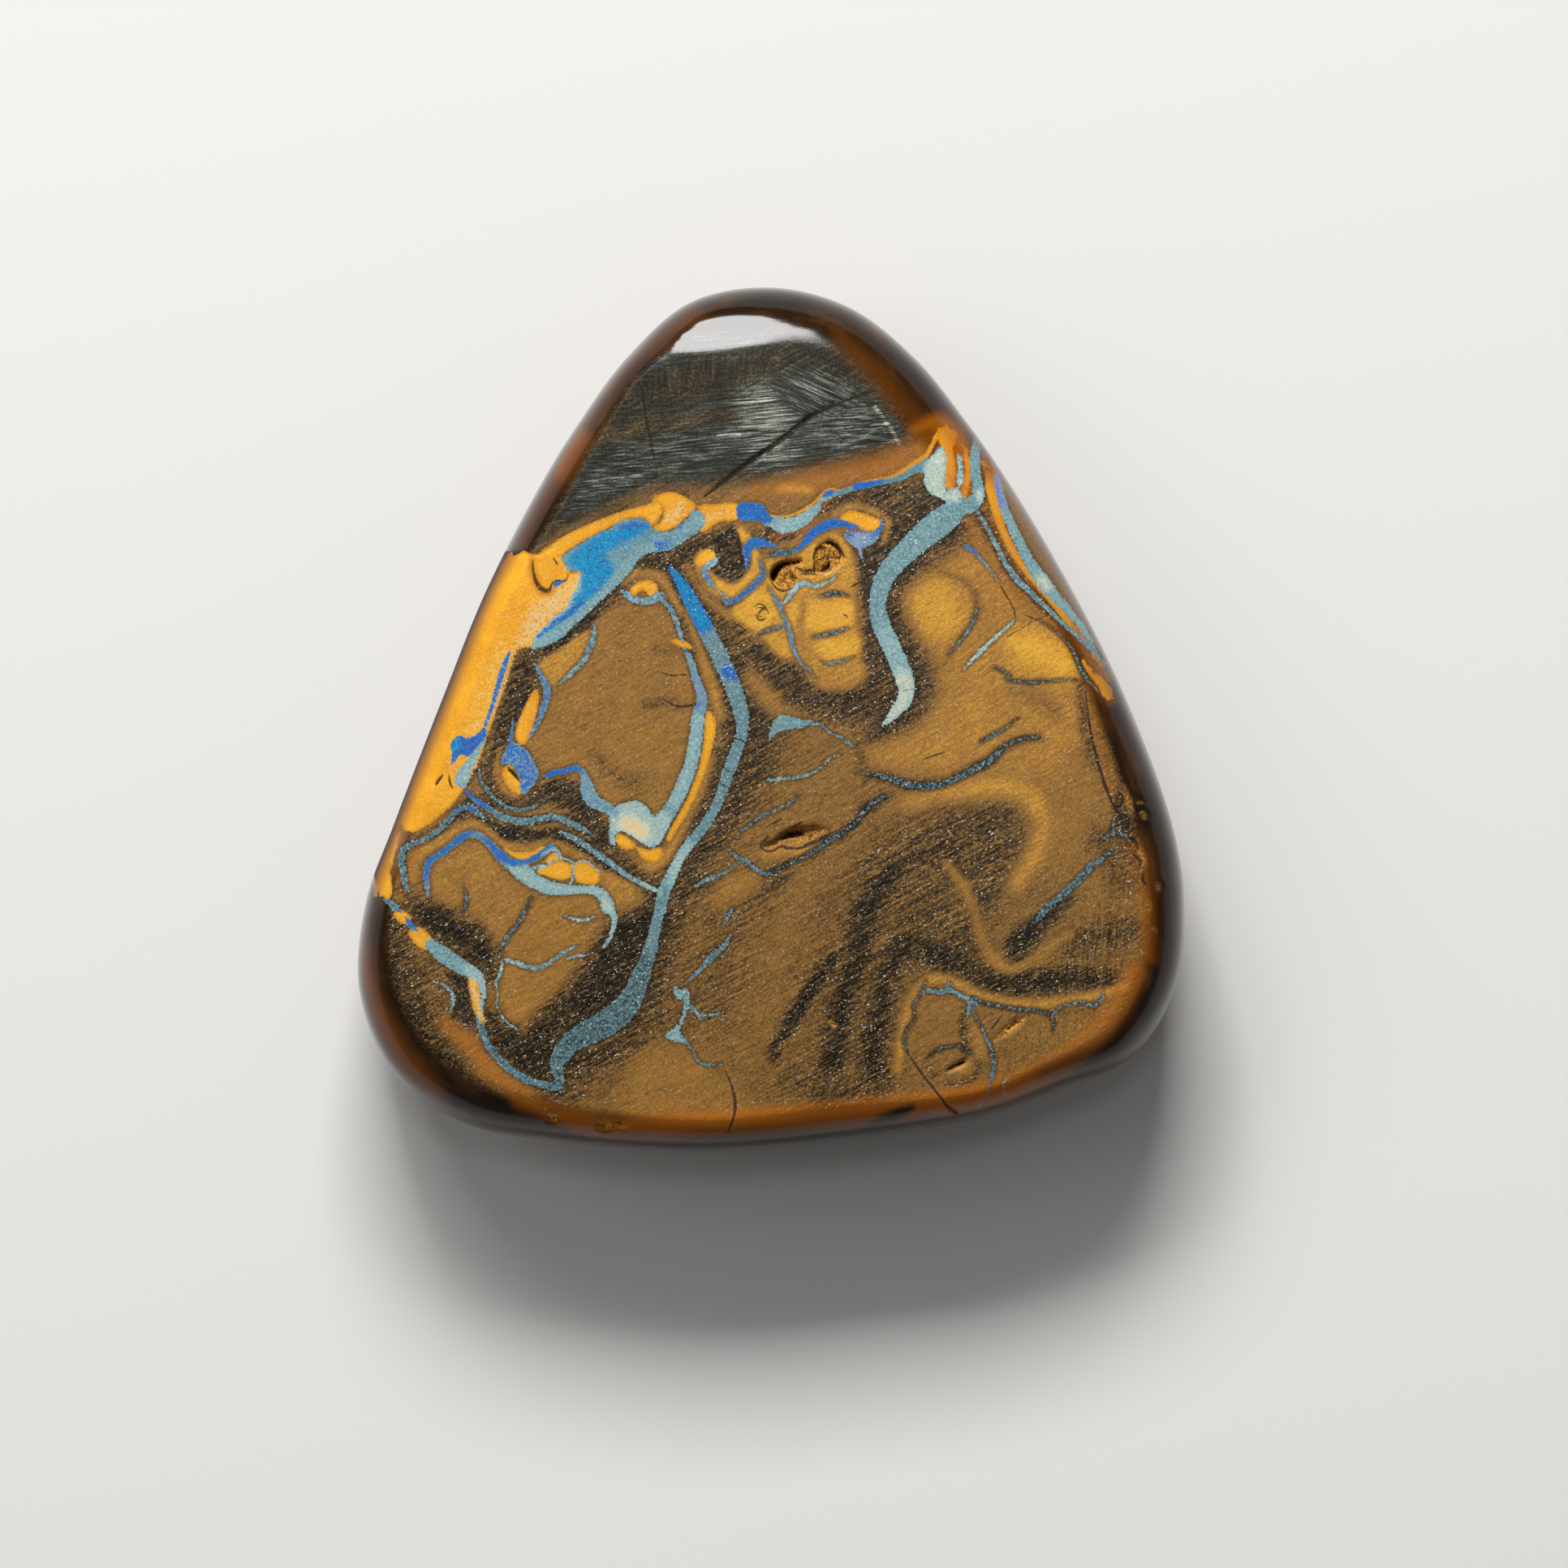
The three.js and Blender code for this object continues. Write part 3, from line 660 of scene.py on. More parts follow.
# soft washes, from here to the bare rim: value, softness in pixels, mark; later ones cover earlier ones
# where the dark cap shows, 0 to 1
capWashes = {
    "cap": (1.0, 22, [
        (640, 700), (668, 662), (720, 642), (810, 600), (870, 596), (1060, 566), (1120, 535), (1140, 490),
        (1120, 420), (1000, 340), (860, 340), (700, 480), (600, 660)]),
    "brow": (0.3, 16, capBrowLine),
    "streak": (0.45, 18, [(735, 540, 8), (800, 524, 16), (905, 512, 6)]),
    "rightEdge": (0.3, 20, [(1060, 440, 14), (1110, 500, 20), (1140, 540, 16)]),
    "leftFade": (0.4, 20, capLeftLine),
}

# painted sheen: where the cap's scratches are painted bright as reflected light, with a few painted glints
paintedSheenSpots = {
    "heart": (1.0, 26, [
        (905, 480), (945, 468), (975, 500), (985, 545), (965, 580), (935, 570), (905, 530)]),
    "rightUpper": (0.5, 22, [(950, 440), (1010, 440), (1060, 485), (1010, 500), (970, 480)]),
    "rightLower": (0.5, 18, [(1005, 520), (1060, 495), (1090, 510), (1105, 545), (1020, 555)]),
    "leftBand": (0.36, 30, [(740, 590, 40), (800, 560, 50), (860, 550, 40)]),
    "tipBand": (0.35, 14, [(820, 446, 10), (880, 436, 14), (960, 430, 14), (1020, 428, 10)]),
    # painted glints: one bright scratch, and white dashes along the face's right edge
    "scratchGlint": (1.5, 3, [(885, 536, 3), (898, 533, 4), (912, 534, 3)]),
    "rimGlintDashes": (1.6, 3, [(1077, 499, 2), (1096, 526, 3), (1112, 553, 2)]),
}

# where the cap's scratches fall to the right
slantSpots = {
    "rightFacet": (1.0, 10, [(940, 430), (1000, 425), (1080, 480), (1000, 512), (965, 490)]),
}

# where scratches stand upright
uprightSpots = {
    "right": (0.9, 30, [
        (1330, 1020, 40), (1360, 1100, 60), (1350, 1180, 70), (1300, 1260, 70), (1230, 1310, 60)]),
    "bend": (0.8, 20, [(1096, 890, 40), (1130, 880, 40)]),
    "brow": (0.9, 20, [(800, 476, 30), (850, 462, 36), (930, 452, 30)]),
}

# broad tone of the ironstone: -1 near black, 0 brown, 1 golden ochre
groundWashes = {
    "cap": (-0.82, 14, [
        (600, 760), (650, 668), (700, 655), (760, 632), (800, 612), (870, 608), (1000, 602), (1060, 585),
        (1140, 552), (1165, 500), (1120, 420), (1000, 340), (860, 340), (700, 480), (600, 660)]),
    "capBrow": (-0.8, 16, capBrowLine),
    "capLeft": (-0.5, 20, capLeftLine),
    "capWarm": (0.15, 22, [(868, 608, 16), (1000, 592, 34), (1130, 555, 24), (1156, 530, 16)]),
    "capWarmLeft": (-0.05, 16, [(690, 656, 12), (800, 606, 14), (850, 602, 10)]),
    "capStreak": (-0.42, 16, [(735, 540, 8), (800, 524, 16), (860, 516, 14), (905, 512, 6)]),
    "capSmear": (0.75, 8, [(962, 603, 3), (980, 601, 6), (1000, 604, 3)]),
    "upperShade": (-0.6, 14, [
        (800, 682), (850, 662), (950, 650), (1030, 612), (1140, 592), (1190, 630), (1080, 760), (1090, 860),
        (1060, 890), (1000, 880), (950, 850), (920, 800), (880, 740), (840, 700)]),
    "rightField": (0.42, 24, [
        (1195, 640), (1250, 720), (1330, 800), (1338, 900), (1300, 955), (1200, 955), (1130, 935),
        (1140, 880), (1160, 830), (1120, 760), (1130, 705)]),
    "riverLow": (-0.62, 46, [(822, 1110, 14), (770, 1245, 60), (700, 1292, 60), (660, 1310, 40)]),
    "riverMid": (-0.55, 34, [
        (930, 870, 20), (935, 920, 40), (890, 1005, 30), (860, 1050, 24), (842, 1100, 16)]),
    "riverHaze": (-0.24, 50, [(905, 1075, 14), (895, 1150, 40), (880, 1220, 40), (850, 1270, 24)]),
    "lowerLobe": (0.18, 26, [
        (800, 1300), (850, 1292), (902, 1350), (900, 1385), (840, 1392), (780, 1385), (770, 1340)]),
    "flank": (-0.3, 18, [
        (475, 1120), (520, 1165), (555, 1200), (556, 1250), (580, 1272), (600, 1302), (640, 1338),
        (700, 1352), (660, 1390), (560, 1350), (490, 1260), (460, 1160)]),
    "flankAmber": (0.08, 18, [
        (540, 1258, 10), (572, 1282, 24), (605, 1318, 28), (650, 1350, 22), (700, 1366, 14)]),
    # painted reflection: a darker grey-brown wash standing in for the gloss of the lower left shoulder
    "flankSheen": (-0.68, 22, [
        (476, 1128, 16), (484, 1180, 24), (500, 1232, 26), (528, 1280, 22), (562, 1312, 14)]),
}

# finer tone, laid over the veins' halos
detailWashes = {
    # left chamber and what surrounds it
    "chamberOuter": (0.42, 7, [(846, 752, 8), (880, 852, 12), (887, 880, 10)]),
    "chamberBand": (-0.72, 8, [
        (800, 690, 22), (768, 716, 18), (708, 774, 20), (676, 797, 26), (648, 826, 36), (634, 862, 36),
        (620, 898, 26), (611, 930, 18), (605, 955, 16), (616, 980, 16), (640, 990, 14), (664, 978, 20),
        (692, 976, 34), (712, 996, 32), (736, 1022, 26), (752, 1044, 18)]),
    "patchEdge": (-0.25, 4, [(634, 810, 5), (610, 878, 8), (594, 936, 9), (582, 962, 9)]),
    "chamber": (0.16, 6, [
        (735, 762), (760, 749), (815, 748), (828, 765), (855, 865), (850, 885), (850, 905), (838, 955),
        (812, 1000), (800, 993), (780, 986), (755, 992), (738, 978), (715, 945), (690, 947), (668, 952),
        (662, 940), (655, 925), (648, 915), (668, 880), (676, 855), (672, 842), (690, 842), (715, 822),
        (730, 797)]),
    "chamberWedge": (0.55, 4, [
        (660, 820), (690, 800), (715, 782), (728, 778), (722, 800), (690, 838), (675, 843), (666, 830)]),
    "eyeHalo": (0.45, 6, [(768, 718, 5), (783, 707, 7), (800, 705, 7), (815, 713, 7), (838, 752, 5)]),
    "chamberStain": (-0.15, 16, [(735, 930, 10), (748, 950, 12), (782, 965, 14)]),
    "chamberStainHigh": (-0.15, 10, [(798, 868, 6), (818, 866, 8), (850, 868, 5)]),
    "chamberStainMid": (-0.1, 8, [(808, 800, 4), (830, 800, 4)]),
    "tearHalo": (0.35, 6, [(616, 925, 4), (612, 945, 6), (616, 965, 6), (630, 978, 6), (648, 975, 5)]),
    "poolHalo": (0.5, 9, [
        (764, 1056, 12), (790, 1068, 16), (815, 1060, 18), (846, 1012, 9), (862, 978, 7), (876, 935, 6)]),
    # layers between the two chambers
    "layers": (-0.5, 8, [
        (578, 982), (600, 978), (640, 1000), (700, 998), (745, 1030), (800, 1085), (780, 1096), (720, 1050),
        (680, 1036), (620, 1034), (590, 1016), (560, 1014), (520, 1040), (500, 1050), (505, 1100),
        (490, 1100), (486, 1050), (520, 1030), (560, 998)]),
    "layerGoldA": (0.25, 3, [(612, 996, 2), (635, 1003, 4), (665, 1001, 4), (700, 1000, 3)]),
    "layerGoldB": (0.2, 3, [(588, 993, 3), (626, 1018, 4), (655, 1021, 4), (690, 1017, 4), (715, 1030, 2)]),
    "layerDark": (-0.95, 5, [
        (592, 1012, 10), (620, 1024, 14), (655, 1031, 16), (690, 1030, 16), (720, 1048, 14),
        (745, 1070, 10)]),
    "layerGoldC": (0.45, 5, [
        (508, 1085, 6), (510, 1062, 10), (522, 1048, 10), (545, 1036, 10), (566, 1020, 10), (584, 1014, 9),
        (604, 1026, 9), (620, 1040, 8), (648, 1046, 8), (676, 1036, 6), (700, 1046, 8), (722, 1058, 10),
        (745, 1078, 10), (775, 1092, 10)]),
    # lower left chamber
    "lowerChamber": (0.28, 9, [
        (531, 1100), (530, 1077), (540, 1062), (565, 1047), (583, 1039), (600, 1047), (612, 1067),
        (665, 1104), (690, 1107), (720, 1106), (735, 1112), (742, 1128), (735, 1150), (715, 1180),
        (700, 1208), (670, 1238), (645, 1262), (625, 1255), (614, 1230), (616, 1195), (602, 1168),
        (570, 1135)]),
    "lowerGold": (0.5, 12, [(742, 1086), (765, 1086), (790, 1100), (795, 1120), (775, 1132), (757, 1118)]),
    "lowerDark": (-0.9, 16, [
        (506, 1114, 10), (540, 1134, 34), (575, 1156, 44), (600, 1180, 26), (606, 1205, 12)]),
    "lowerTwigShade": (0.05, 8, [(570, 1084, 3), (573, 1110, 6), (566, 1130, 6)]),
    "lowerTwigShadeTwo": (0.0, 8, [(656, 1106, 4), (644, 1130, 8), (626, 1156, 6), (615, 1180, 4)]),
    "lowerShade": (-0.98, 22, [
        (765, 1128), (800, 1118), (800, 1180), (770, 1222), (705, 1258), (676, 1296), (672, 1328),
        (640, 1318), (606, 1286), (596, 1246), (640, 1274), (672, 1248), (740, 1166)]),
    "notch": (-0.85, 6, [
        (550, 1200), (574, 1206), (583, 1248), (589, 1262), (582, 1268), (560, 1254), (558, 1240),
        (562, 1225), (554, 1212)]),
    # upper middle block
    "hookHalo": (0.25, 7, [(848, 700, 8), (870, 736, 10), (888, 750, 12), (905, 760, 10)]),
    "hook": (0.95, 4, [
        (862, 690, 14), (868, 706, 14), (880, 720, 20), (898, 729, 20), (914, 725, 18), (932, 698, 14),
        (930, 684, 12), (922, 668, 14), (912, 654, 10)]),
    "tongue": (-0.85, 4, [(880, 664), (892, 655), (904, 648), (912, 690), (913, 706), (906, 711)]),
    "blockBase": (0.5, 12, [
        (944, 690), (1000, 668), (1045, 665), (1056, 730), (1062, 800), (1060, 840), (1012, 846),
        (986, 822), (952, 800), (918, 772), (908, 752)]),
    "cellLeft": (0.9, 6, [
        (902, 750), (915, 740), (935, 727), (945, 730), (962, 759), (965, 768), (950, 772), (930, 776),
        (905, 758)]),
    "cellRight": (0.95, 7, [
        (973, 744), (990, 737), (1015, 741), (1045, 739), (1051, 746), (1049, 768), (995, 777), (979, 772),
        (971, 760)]),
    "cellLow": (0.75, 6, [(945, 784), (965, 778), (975, 806), (965, 811), (951, 800)]),
    "cellLowRight": (0.85, 6, [
        (1005, 791), (1030, 787), (1055, 781), (1061, 795), (1055, 806), (1025, 811), (1011, 806)]),
    "cellFoot": (0.5, 9, [
        (1000, 826), (1025, 823), (1055, 817), (1065, 826), (1060, 839), (1030, 847), (1006, 842)]),
    "cellVug": (0.72, 6, [
        (944, 690), (975, 691), (1000, 669), (1025, 658), (1042, 667), (1054, 725), (1040, 729),
        (1010, 728), (960, 736), (946, 716)]),
    "blockSide": (0.35, 8, [(990, 745, 6), (985, 790, 8), (995, 815, 8)]),
    "lensHalo": (0.4, 7, [(1030, 632, 4), (1048, 624, 6), (1070, 628, 6), (1092, 642, 6), (1090, 662, 5)]),
    "blockBelow": (0.3, 14, [(925, 835, 10), (945, 860, 18), (965, 880, 12)]),
    # right field
    "eye": (0.82, 20, [(1146, 742, 52), (1160, 758, 56)]),
    "eyeRing": (-0.05, 7, [
        (1158, 704, 2), (1184, 714, 4), (1200, 730, 5), (1204, 748, 6), (1197, 768, 5), (1168, 806, 4)]),
    "yellowField": (1.05, 22, [(1252, 792, 26), (1285, 804, 44), (1312, 818, 34)]),
    "threadEdge": (0.12, 8, [
        (1192, 640, 6), (1213, 672, 9), (1233, 704, 10), (1262, 736, 10), (1295, 766, 9), (1322, 792, 6)]),
    "threadBorder": (-0.9, 4, [
        (1203, 628, 8), (1222, 660, 10), (1242, 698, 12), (1268, 728, 12), (1335, 790, 10),
        (1364, 817, 6)]),
    "fieldLow": (0.45, 18, [
        (1068, 926), (1110, 908), (1160, 882), (1230, 846), (1290, 852), (1322, 880), (1300, 902),
        (1250, 902), (1200, 930), (1150, 950), (1090, 944)]),
    "fieldShade": (0.05, 14, [(1250, 850, 8), (1280, 862, 14), (1300, 880, 10)]),
    "rimShade": (-0.35, 10, [(1332, 845, 8), (1342, 915, 7), (1362, 975, 5)]),
    # flow of the lower right
    "flowHaze": (-0.2, 46, [
        (1000, 1150), (1080, 1050), (1256, 1006), (1256, 1060), (1232, 1110), (1240, 1172), (1300, 1192),
        (1390, 1192), (1396, 1212), (1290, 1220), (1190, 1200), (1122, 1215), (1106, 1290), (1100, 1350),
        (960, 1350), (985, 1250)]),
    "flowArch": (-0.5, 26, [
        (1057, 1090), (1082, 1046), (1165, 1004), (1244, 1004), (1250, 1024), (1216, 1112), (1196, 1108),
        (1176, 1080), (1150, 1068), (1118, 1076), (1070, 1112)]),
    "flowMiddle": (-0.42, 34, [
        (1105, 1110), (1150, 1085), (1185, 1105), (1205, 1172), (1115, 1160), (1095, 1140)]),
    "flowB": (-0.95, 22, [
        (1100, 1080, 5), (1076, 1112, 10), (1064, 1142, 13), (1060, 1172, 12), (1040, 1232, 8),
        (1034, 1265, 8), (1026, 1295, 10), (1020, 1364, 8)]),
    "flowC": (-0.9, 22, [(1106, 1172, 5), (1092, 1200, 10), (1076, 1296, 14), (1078, 1330, 10)]),
    "flowD": (-1.05, 12, [(1027, 1180, 4), (990, 1233, 9), (952, 1298, 3)]),
    "flowE": (-0.4, 26, [(985, 1330, 10), (1020, 1345, 22), (1070, 1345, 20)]),
    "flowF": (-0.85, 20, [
        (1112, 1164, 6), (1152, 1176, 12), (1195, 1198, 14), (1232, 1210, 14), (1272, 1212, 14),
        (1318, 1206, 10), (1364, 1210, 8)]),
    "lightBand": (0.6, 18, [
        (1120, 990, 4), (1152, 980, 8), (1241, 970, 12), (1268, 980, 14), (1284, 1006, 15),
        (1282, 1040, 14), (1254, 1088, 5)]),
    "rightTan": (0.16, 24, [(1310, 940), (1350, 960), (1365, 1020), (1300, 1070), (1300, 1010)]),
    "edgeStrip": (-0.1, 6, [(1346, 860, 6), (1354, 905, 8), (1376, 985, 6)]),
    "edgeDark": (-0.9, 8, [(1364, 862, 8), (1375, 900, 14), (1388, 945, 14), (1398, 982, 10)]),
    "crumbDark": (-0.7, 12, [(1404, 1006, 8), (1414, 1044, 12), (1420, 1090, 10)]),
    "crumbShade": (-0.8, 12, [(1376, 985, 4), (1391, 1036, 10), (1401, 1060, 10), (1408, 1088, 6)]),
    "crumbHaze": (-0.3, 26, [(1352, 1030, 8), (1372, 1050, 14), (1386, 1090, 14)]),
    "lowHaze": (-0.42, 26, [(1320, 1166, 8), (1356, 1152, 16), (1392, 1146, 12)]),
    "loop": (0.32, 10, [
        (1166, 1064, 2), (1188, 1094, 4), (1201, 1124, 5), (1209, 1155, 6), (1222, 1181, 8),
        (1244, 1192, 8), (1268, 1185, 6), (1317, 1152, 2)]),
    "diagonalShade": (-1.1, 13, [(1318, 1108, 3), (1300, 1124, 8), (1260, 1158, 26), (1250, 1174, 18)]),
    "smear": (-0.35, 8, [(972, 1078, 6), (935, 1103, 9), (918, 1113, 8), (902, 1118, 7)]),
    "wedgeDrop": (-0.2, 8, [(1058, 922, 6), (1062, 938, 9), (1066, 958, 7)]),
    "midOchre": (0.28, 16, [(900, 1080), (930, 1082), (925, 1100), (880, 1120), (885, 1095)]),
    "hollowLip": (0.5, 8, [(943, 1054, 6), (962, 1050, 8), (985, 1050, 9), (1006, 1043, 6)]),
    "footGold": (0.55, 8, [
        (1106, 1318, 5), (1118, 1248, 6), (1132, 1218, 7), (1152, 1206, 7), (1180, 1212, 7),
        (1208, 1226, 7), (1274, 1238, 7), (1348, 1227, 7), (1388, 1215, 5)]),
    "egg": (0.12, 8, [
        (1135, 1230), (1180, 1232), (1190, 1262), (1195, 1290), (1150, 1296), (1122, 1292), (1122, 1270)]),
    "eggHeart": (0.35, 8, [(1203, 1268, 8), (1208, 1286, 12), (1206, 1300, 8)]),
    "eggYolk": (0.5, 6, [(1172, 1316, 6), (1184, 1316, 10), (1192, 1312, 6)]),
    "eggShade": (-0.36, 6, [(1186, 1246, 6), (1187, 1272, 9), (1190, 1294, 10)]),
    "eggRing": (-0.26, 6, [
        (1140, 1302, 5), (1150, 1322, 8), (1172, 1336, 8), (1204, 1326, 14), (1206, 1312, 8)]),
    "eggHollow": (0.35, 6, [(1236, 1278, 4), (1248, 1268, 9), (1256, 1260, 4)]),
}

# vivid blue in the opal, 0 to 1, laid over what each vein has
vividSpots = {
    "riverHead": (1.0, 8, [(824, 697, 20), (845, 728, 26), (866, 768, 26)]),
    "rimQuiet": (0.0, 8, [(862, 892, 24), (852, 930, 24), (832, 985, 26), (815, 1010, 26)]),
    "arcQuiet": (0.0, 4, [(1214, 695, 8), (1232, 718, 8)]),
    "riverSpot": (0.9, 4, [(896, 826, 14), (903, 833, 14)]),
    "fieldBlue": (1.0, 8, [
        (700, 690), (752, 654), (790, 644), (800, 650), (745, 684), (757, 700), (755, 716), (735, 734),
        (718, 738), (716, 706)]),
    "fieldEdge": (0.8, 4, [(664, 784, 4), (684, 768, 7), (704, 754, 10), (716, 738, 16)]),
    "fieldTail": (0.6, 8, [(806, 674, 12), (822, 670, 10)]),
    "fieldTop": (0.55, 5, [(828, 652, 8), (840, 644, 8)]),
    "fieldQuiet": (0.0, 6, [
        (664, 796, 8), (692, 781, 10), (716, 760, 14), (740, 738, 16), (757, 718, 16), (778, 696, 16),
        (800, 676, 12)]),
    "threadBlueA": (0.9, 3, [(1017, 609, 8), (1025, 606, 6)]),
    "threadBlueB": (0.95, 4, [(1056, 599, 10), (1084, 594, 8)]),
    "junctionBlue": (0.6, 6, [(1148, 556, 8), (1156, 548, 8)]),
    "bandStart": (0.8, 6, [(574, 975, 8), (600, 994, 8)]),
    "bandCrest": (0.6, 6, [(562, 999, 10), (585, 999, 10)]),
    "flankBlue": (0.9, 4, [(494, 1122, 7), (508, 1138, 8)]),
    "patchPale": (0.0, 5, [(590, 940, 14), (575, 955, 16), (566, 950, 12)]),
    "shoulderViolet": (0.8, 8, [(1229, 588, 10), (1234, 622, 14)]),
    "outlineQuiet": (0.1, 5, [(583, 1029, 6), (592, 1031, 6)]),
    "outlineFoot": (0.3, 6, [(527, 1108, 8), (526, 1092, 8)]),
}

# hue of the vivid blue, -1 lilac to 1 cyan
cyanSpots = {
    "field": (0.8, 8, [
        (692, 687), (736, 657), (780, 639), (801, 648), (800, 670), (770, 700), (735, 740), (690, 780),
        (664, 790), (690, 757), (712, 720)]),
    "fieldHeart": (1.0, 8, [(700, 688, 14), (718, 692, 22)]),
    "fieldMid": (0.85, 10, [(728, 704, 18), (742, 720, 18)]),
    "fieldBrow": (0.9, 8, [(738, 668, 10), (770, 658, 12)]),
    "fieldDeep": (-0.1, 6, [(762, 646, 6), (794, 644, 10)]),
    "fieldFoot": (0.1, 5, [(676, 770, 6), (700, 754, 10), (716, 742, 10)]),
    "riverCyan": (0.75, 6, [(830, 704, 10), (848, 734, 18), (866, 768, 20)]),
    "patchCyan": (0.9, 4, [(562, 910, 6), (560, 922, 7)]),
    "tearCyan": (0.6, 4, [(632, 890, 6), (630, 905, 6)]),
    "rimViolet": (-0.9, 10, [(835, 770, 12), (856, 822, 16), (866, 862, 20)]),
    "fallViolet": (-0.6, 8, [(722, 960, 14), (728, 984, 18)]),
    "hookViolet": (-0.7, 8, [(868, 700, 20), (880, 690, 20)]),
    "dropViolet": (-0.9, 8, [(1060, 664, 30), (1062, 688, 8)]),
    "shoulderViolet": (-0.9, 10, [(1229, 588, 12), (1236, 626, 18)]),
    "threadViolet": (-0.5, 8, [(968, 765, 10), (980, 808, 8)]),
    "paleViolet": (-0.6, 6, [(972, 735, 10), (1020, 720, 10)]),
    "tearViolet": (-0.4, 8, [(650, 945, 20), (655, 962, 14)]),
    "outlineViolet": (-0.5, 8, [(526, 1085, 8), (614, 1054, 14)]),
}

# paleness of opal and gold, laid over what each vein has
paleSpots = {
    "riverWhite": (0.6, 10, [(846, 1044, 12), (834, 1066, 16), (826, 1086, 12)]),
    "bendLow": (0.45, 14, [(1092, 785, 22), (1104, 812, 24)]),
    "bendFoot": (0.9, 10, [(1112, 836, 24), (1116, 854, 24), (1104, 876, 16), (1088, 894, 8)]),
    "riverFoot": (-0.42, 16, [(796, 1190, 30), (770, 1244, 40), (700, 1288, 40), (688, 1330, 20)]),
    "fieldPale": (0.22, 8, [
        (664, 794, 10), (690, 780, 14), (714, 758, 18), (738, 736, 20), (780, 692, 20), (812, 670, 18),
        (846, 652, 18), (860, 636, 14)]),
    "rimFall": (0.45, 8, [(858, 888, 16), (852, 930, 16), (832, 985, 18)]),
    "poolHeart": (1.4, 9, [(772, 1014, 16), (790, 1024, 18)]),
    "patchCream": (0.45, 5, [(590, 938, 12), (572, 956, 16)]),
    "goldCream": (0.6, 14, [
        (716, 706), (717, 722), (706, 745), (690, 760), (668, 786), (640, 797), (646, 762), (664, 738),
        (690, 724), (702, 712)]),
    "goldCreamEdge": (0.4, 8, [(640, 790, 8), (612, 858, 10), (600, 890, 8)]),
    "blobCream": (0.5, 8, [(824, 640, 14), (840, 626, 12)]),
    "blockCream": (0.4, 8, [(868, 640, 14), (895, 632, 14)]),
    "peach": (0.7, 5, [(582, 1208, 10), (592, 1256, 8)]),
    "shoulderWhite": (0.9, 5, [(1284, 714, 14), (1291, 722, 12)]),
    "junctionWhite": (0.8, 5, [(1207, 606, 8), (1208, 616, 7)]),
    "tailWhite": (0.8, 5, [(746, 1114, 10), (750, 1122, 8)]),
    "twigWhite": (0.6, 4, [(620, 1182, 6), (643, 1189, 6)]),
    "bandCWhite": (0.5, 6, [(785, 1086, 6), (810, 1098, 6)]),
    "flankCream": (0.6, 6, [(578, 1196, 14), (592, 1204, 12), (594, 1226, 10)]),
    "goldSand": (0.3, 14, [(618, 800, 16), (600, 850, 16), (584, 900, 18), (560, 950, 14)]),
    "tearPale": (0.7, 4, [(631, 930, 8), (634, 938, 6)]),
    "lensWhite": (0.45, 8, [(968, 648, 16), (996, 632, 12)]),
}

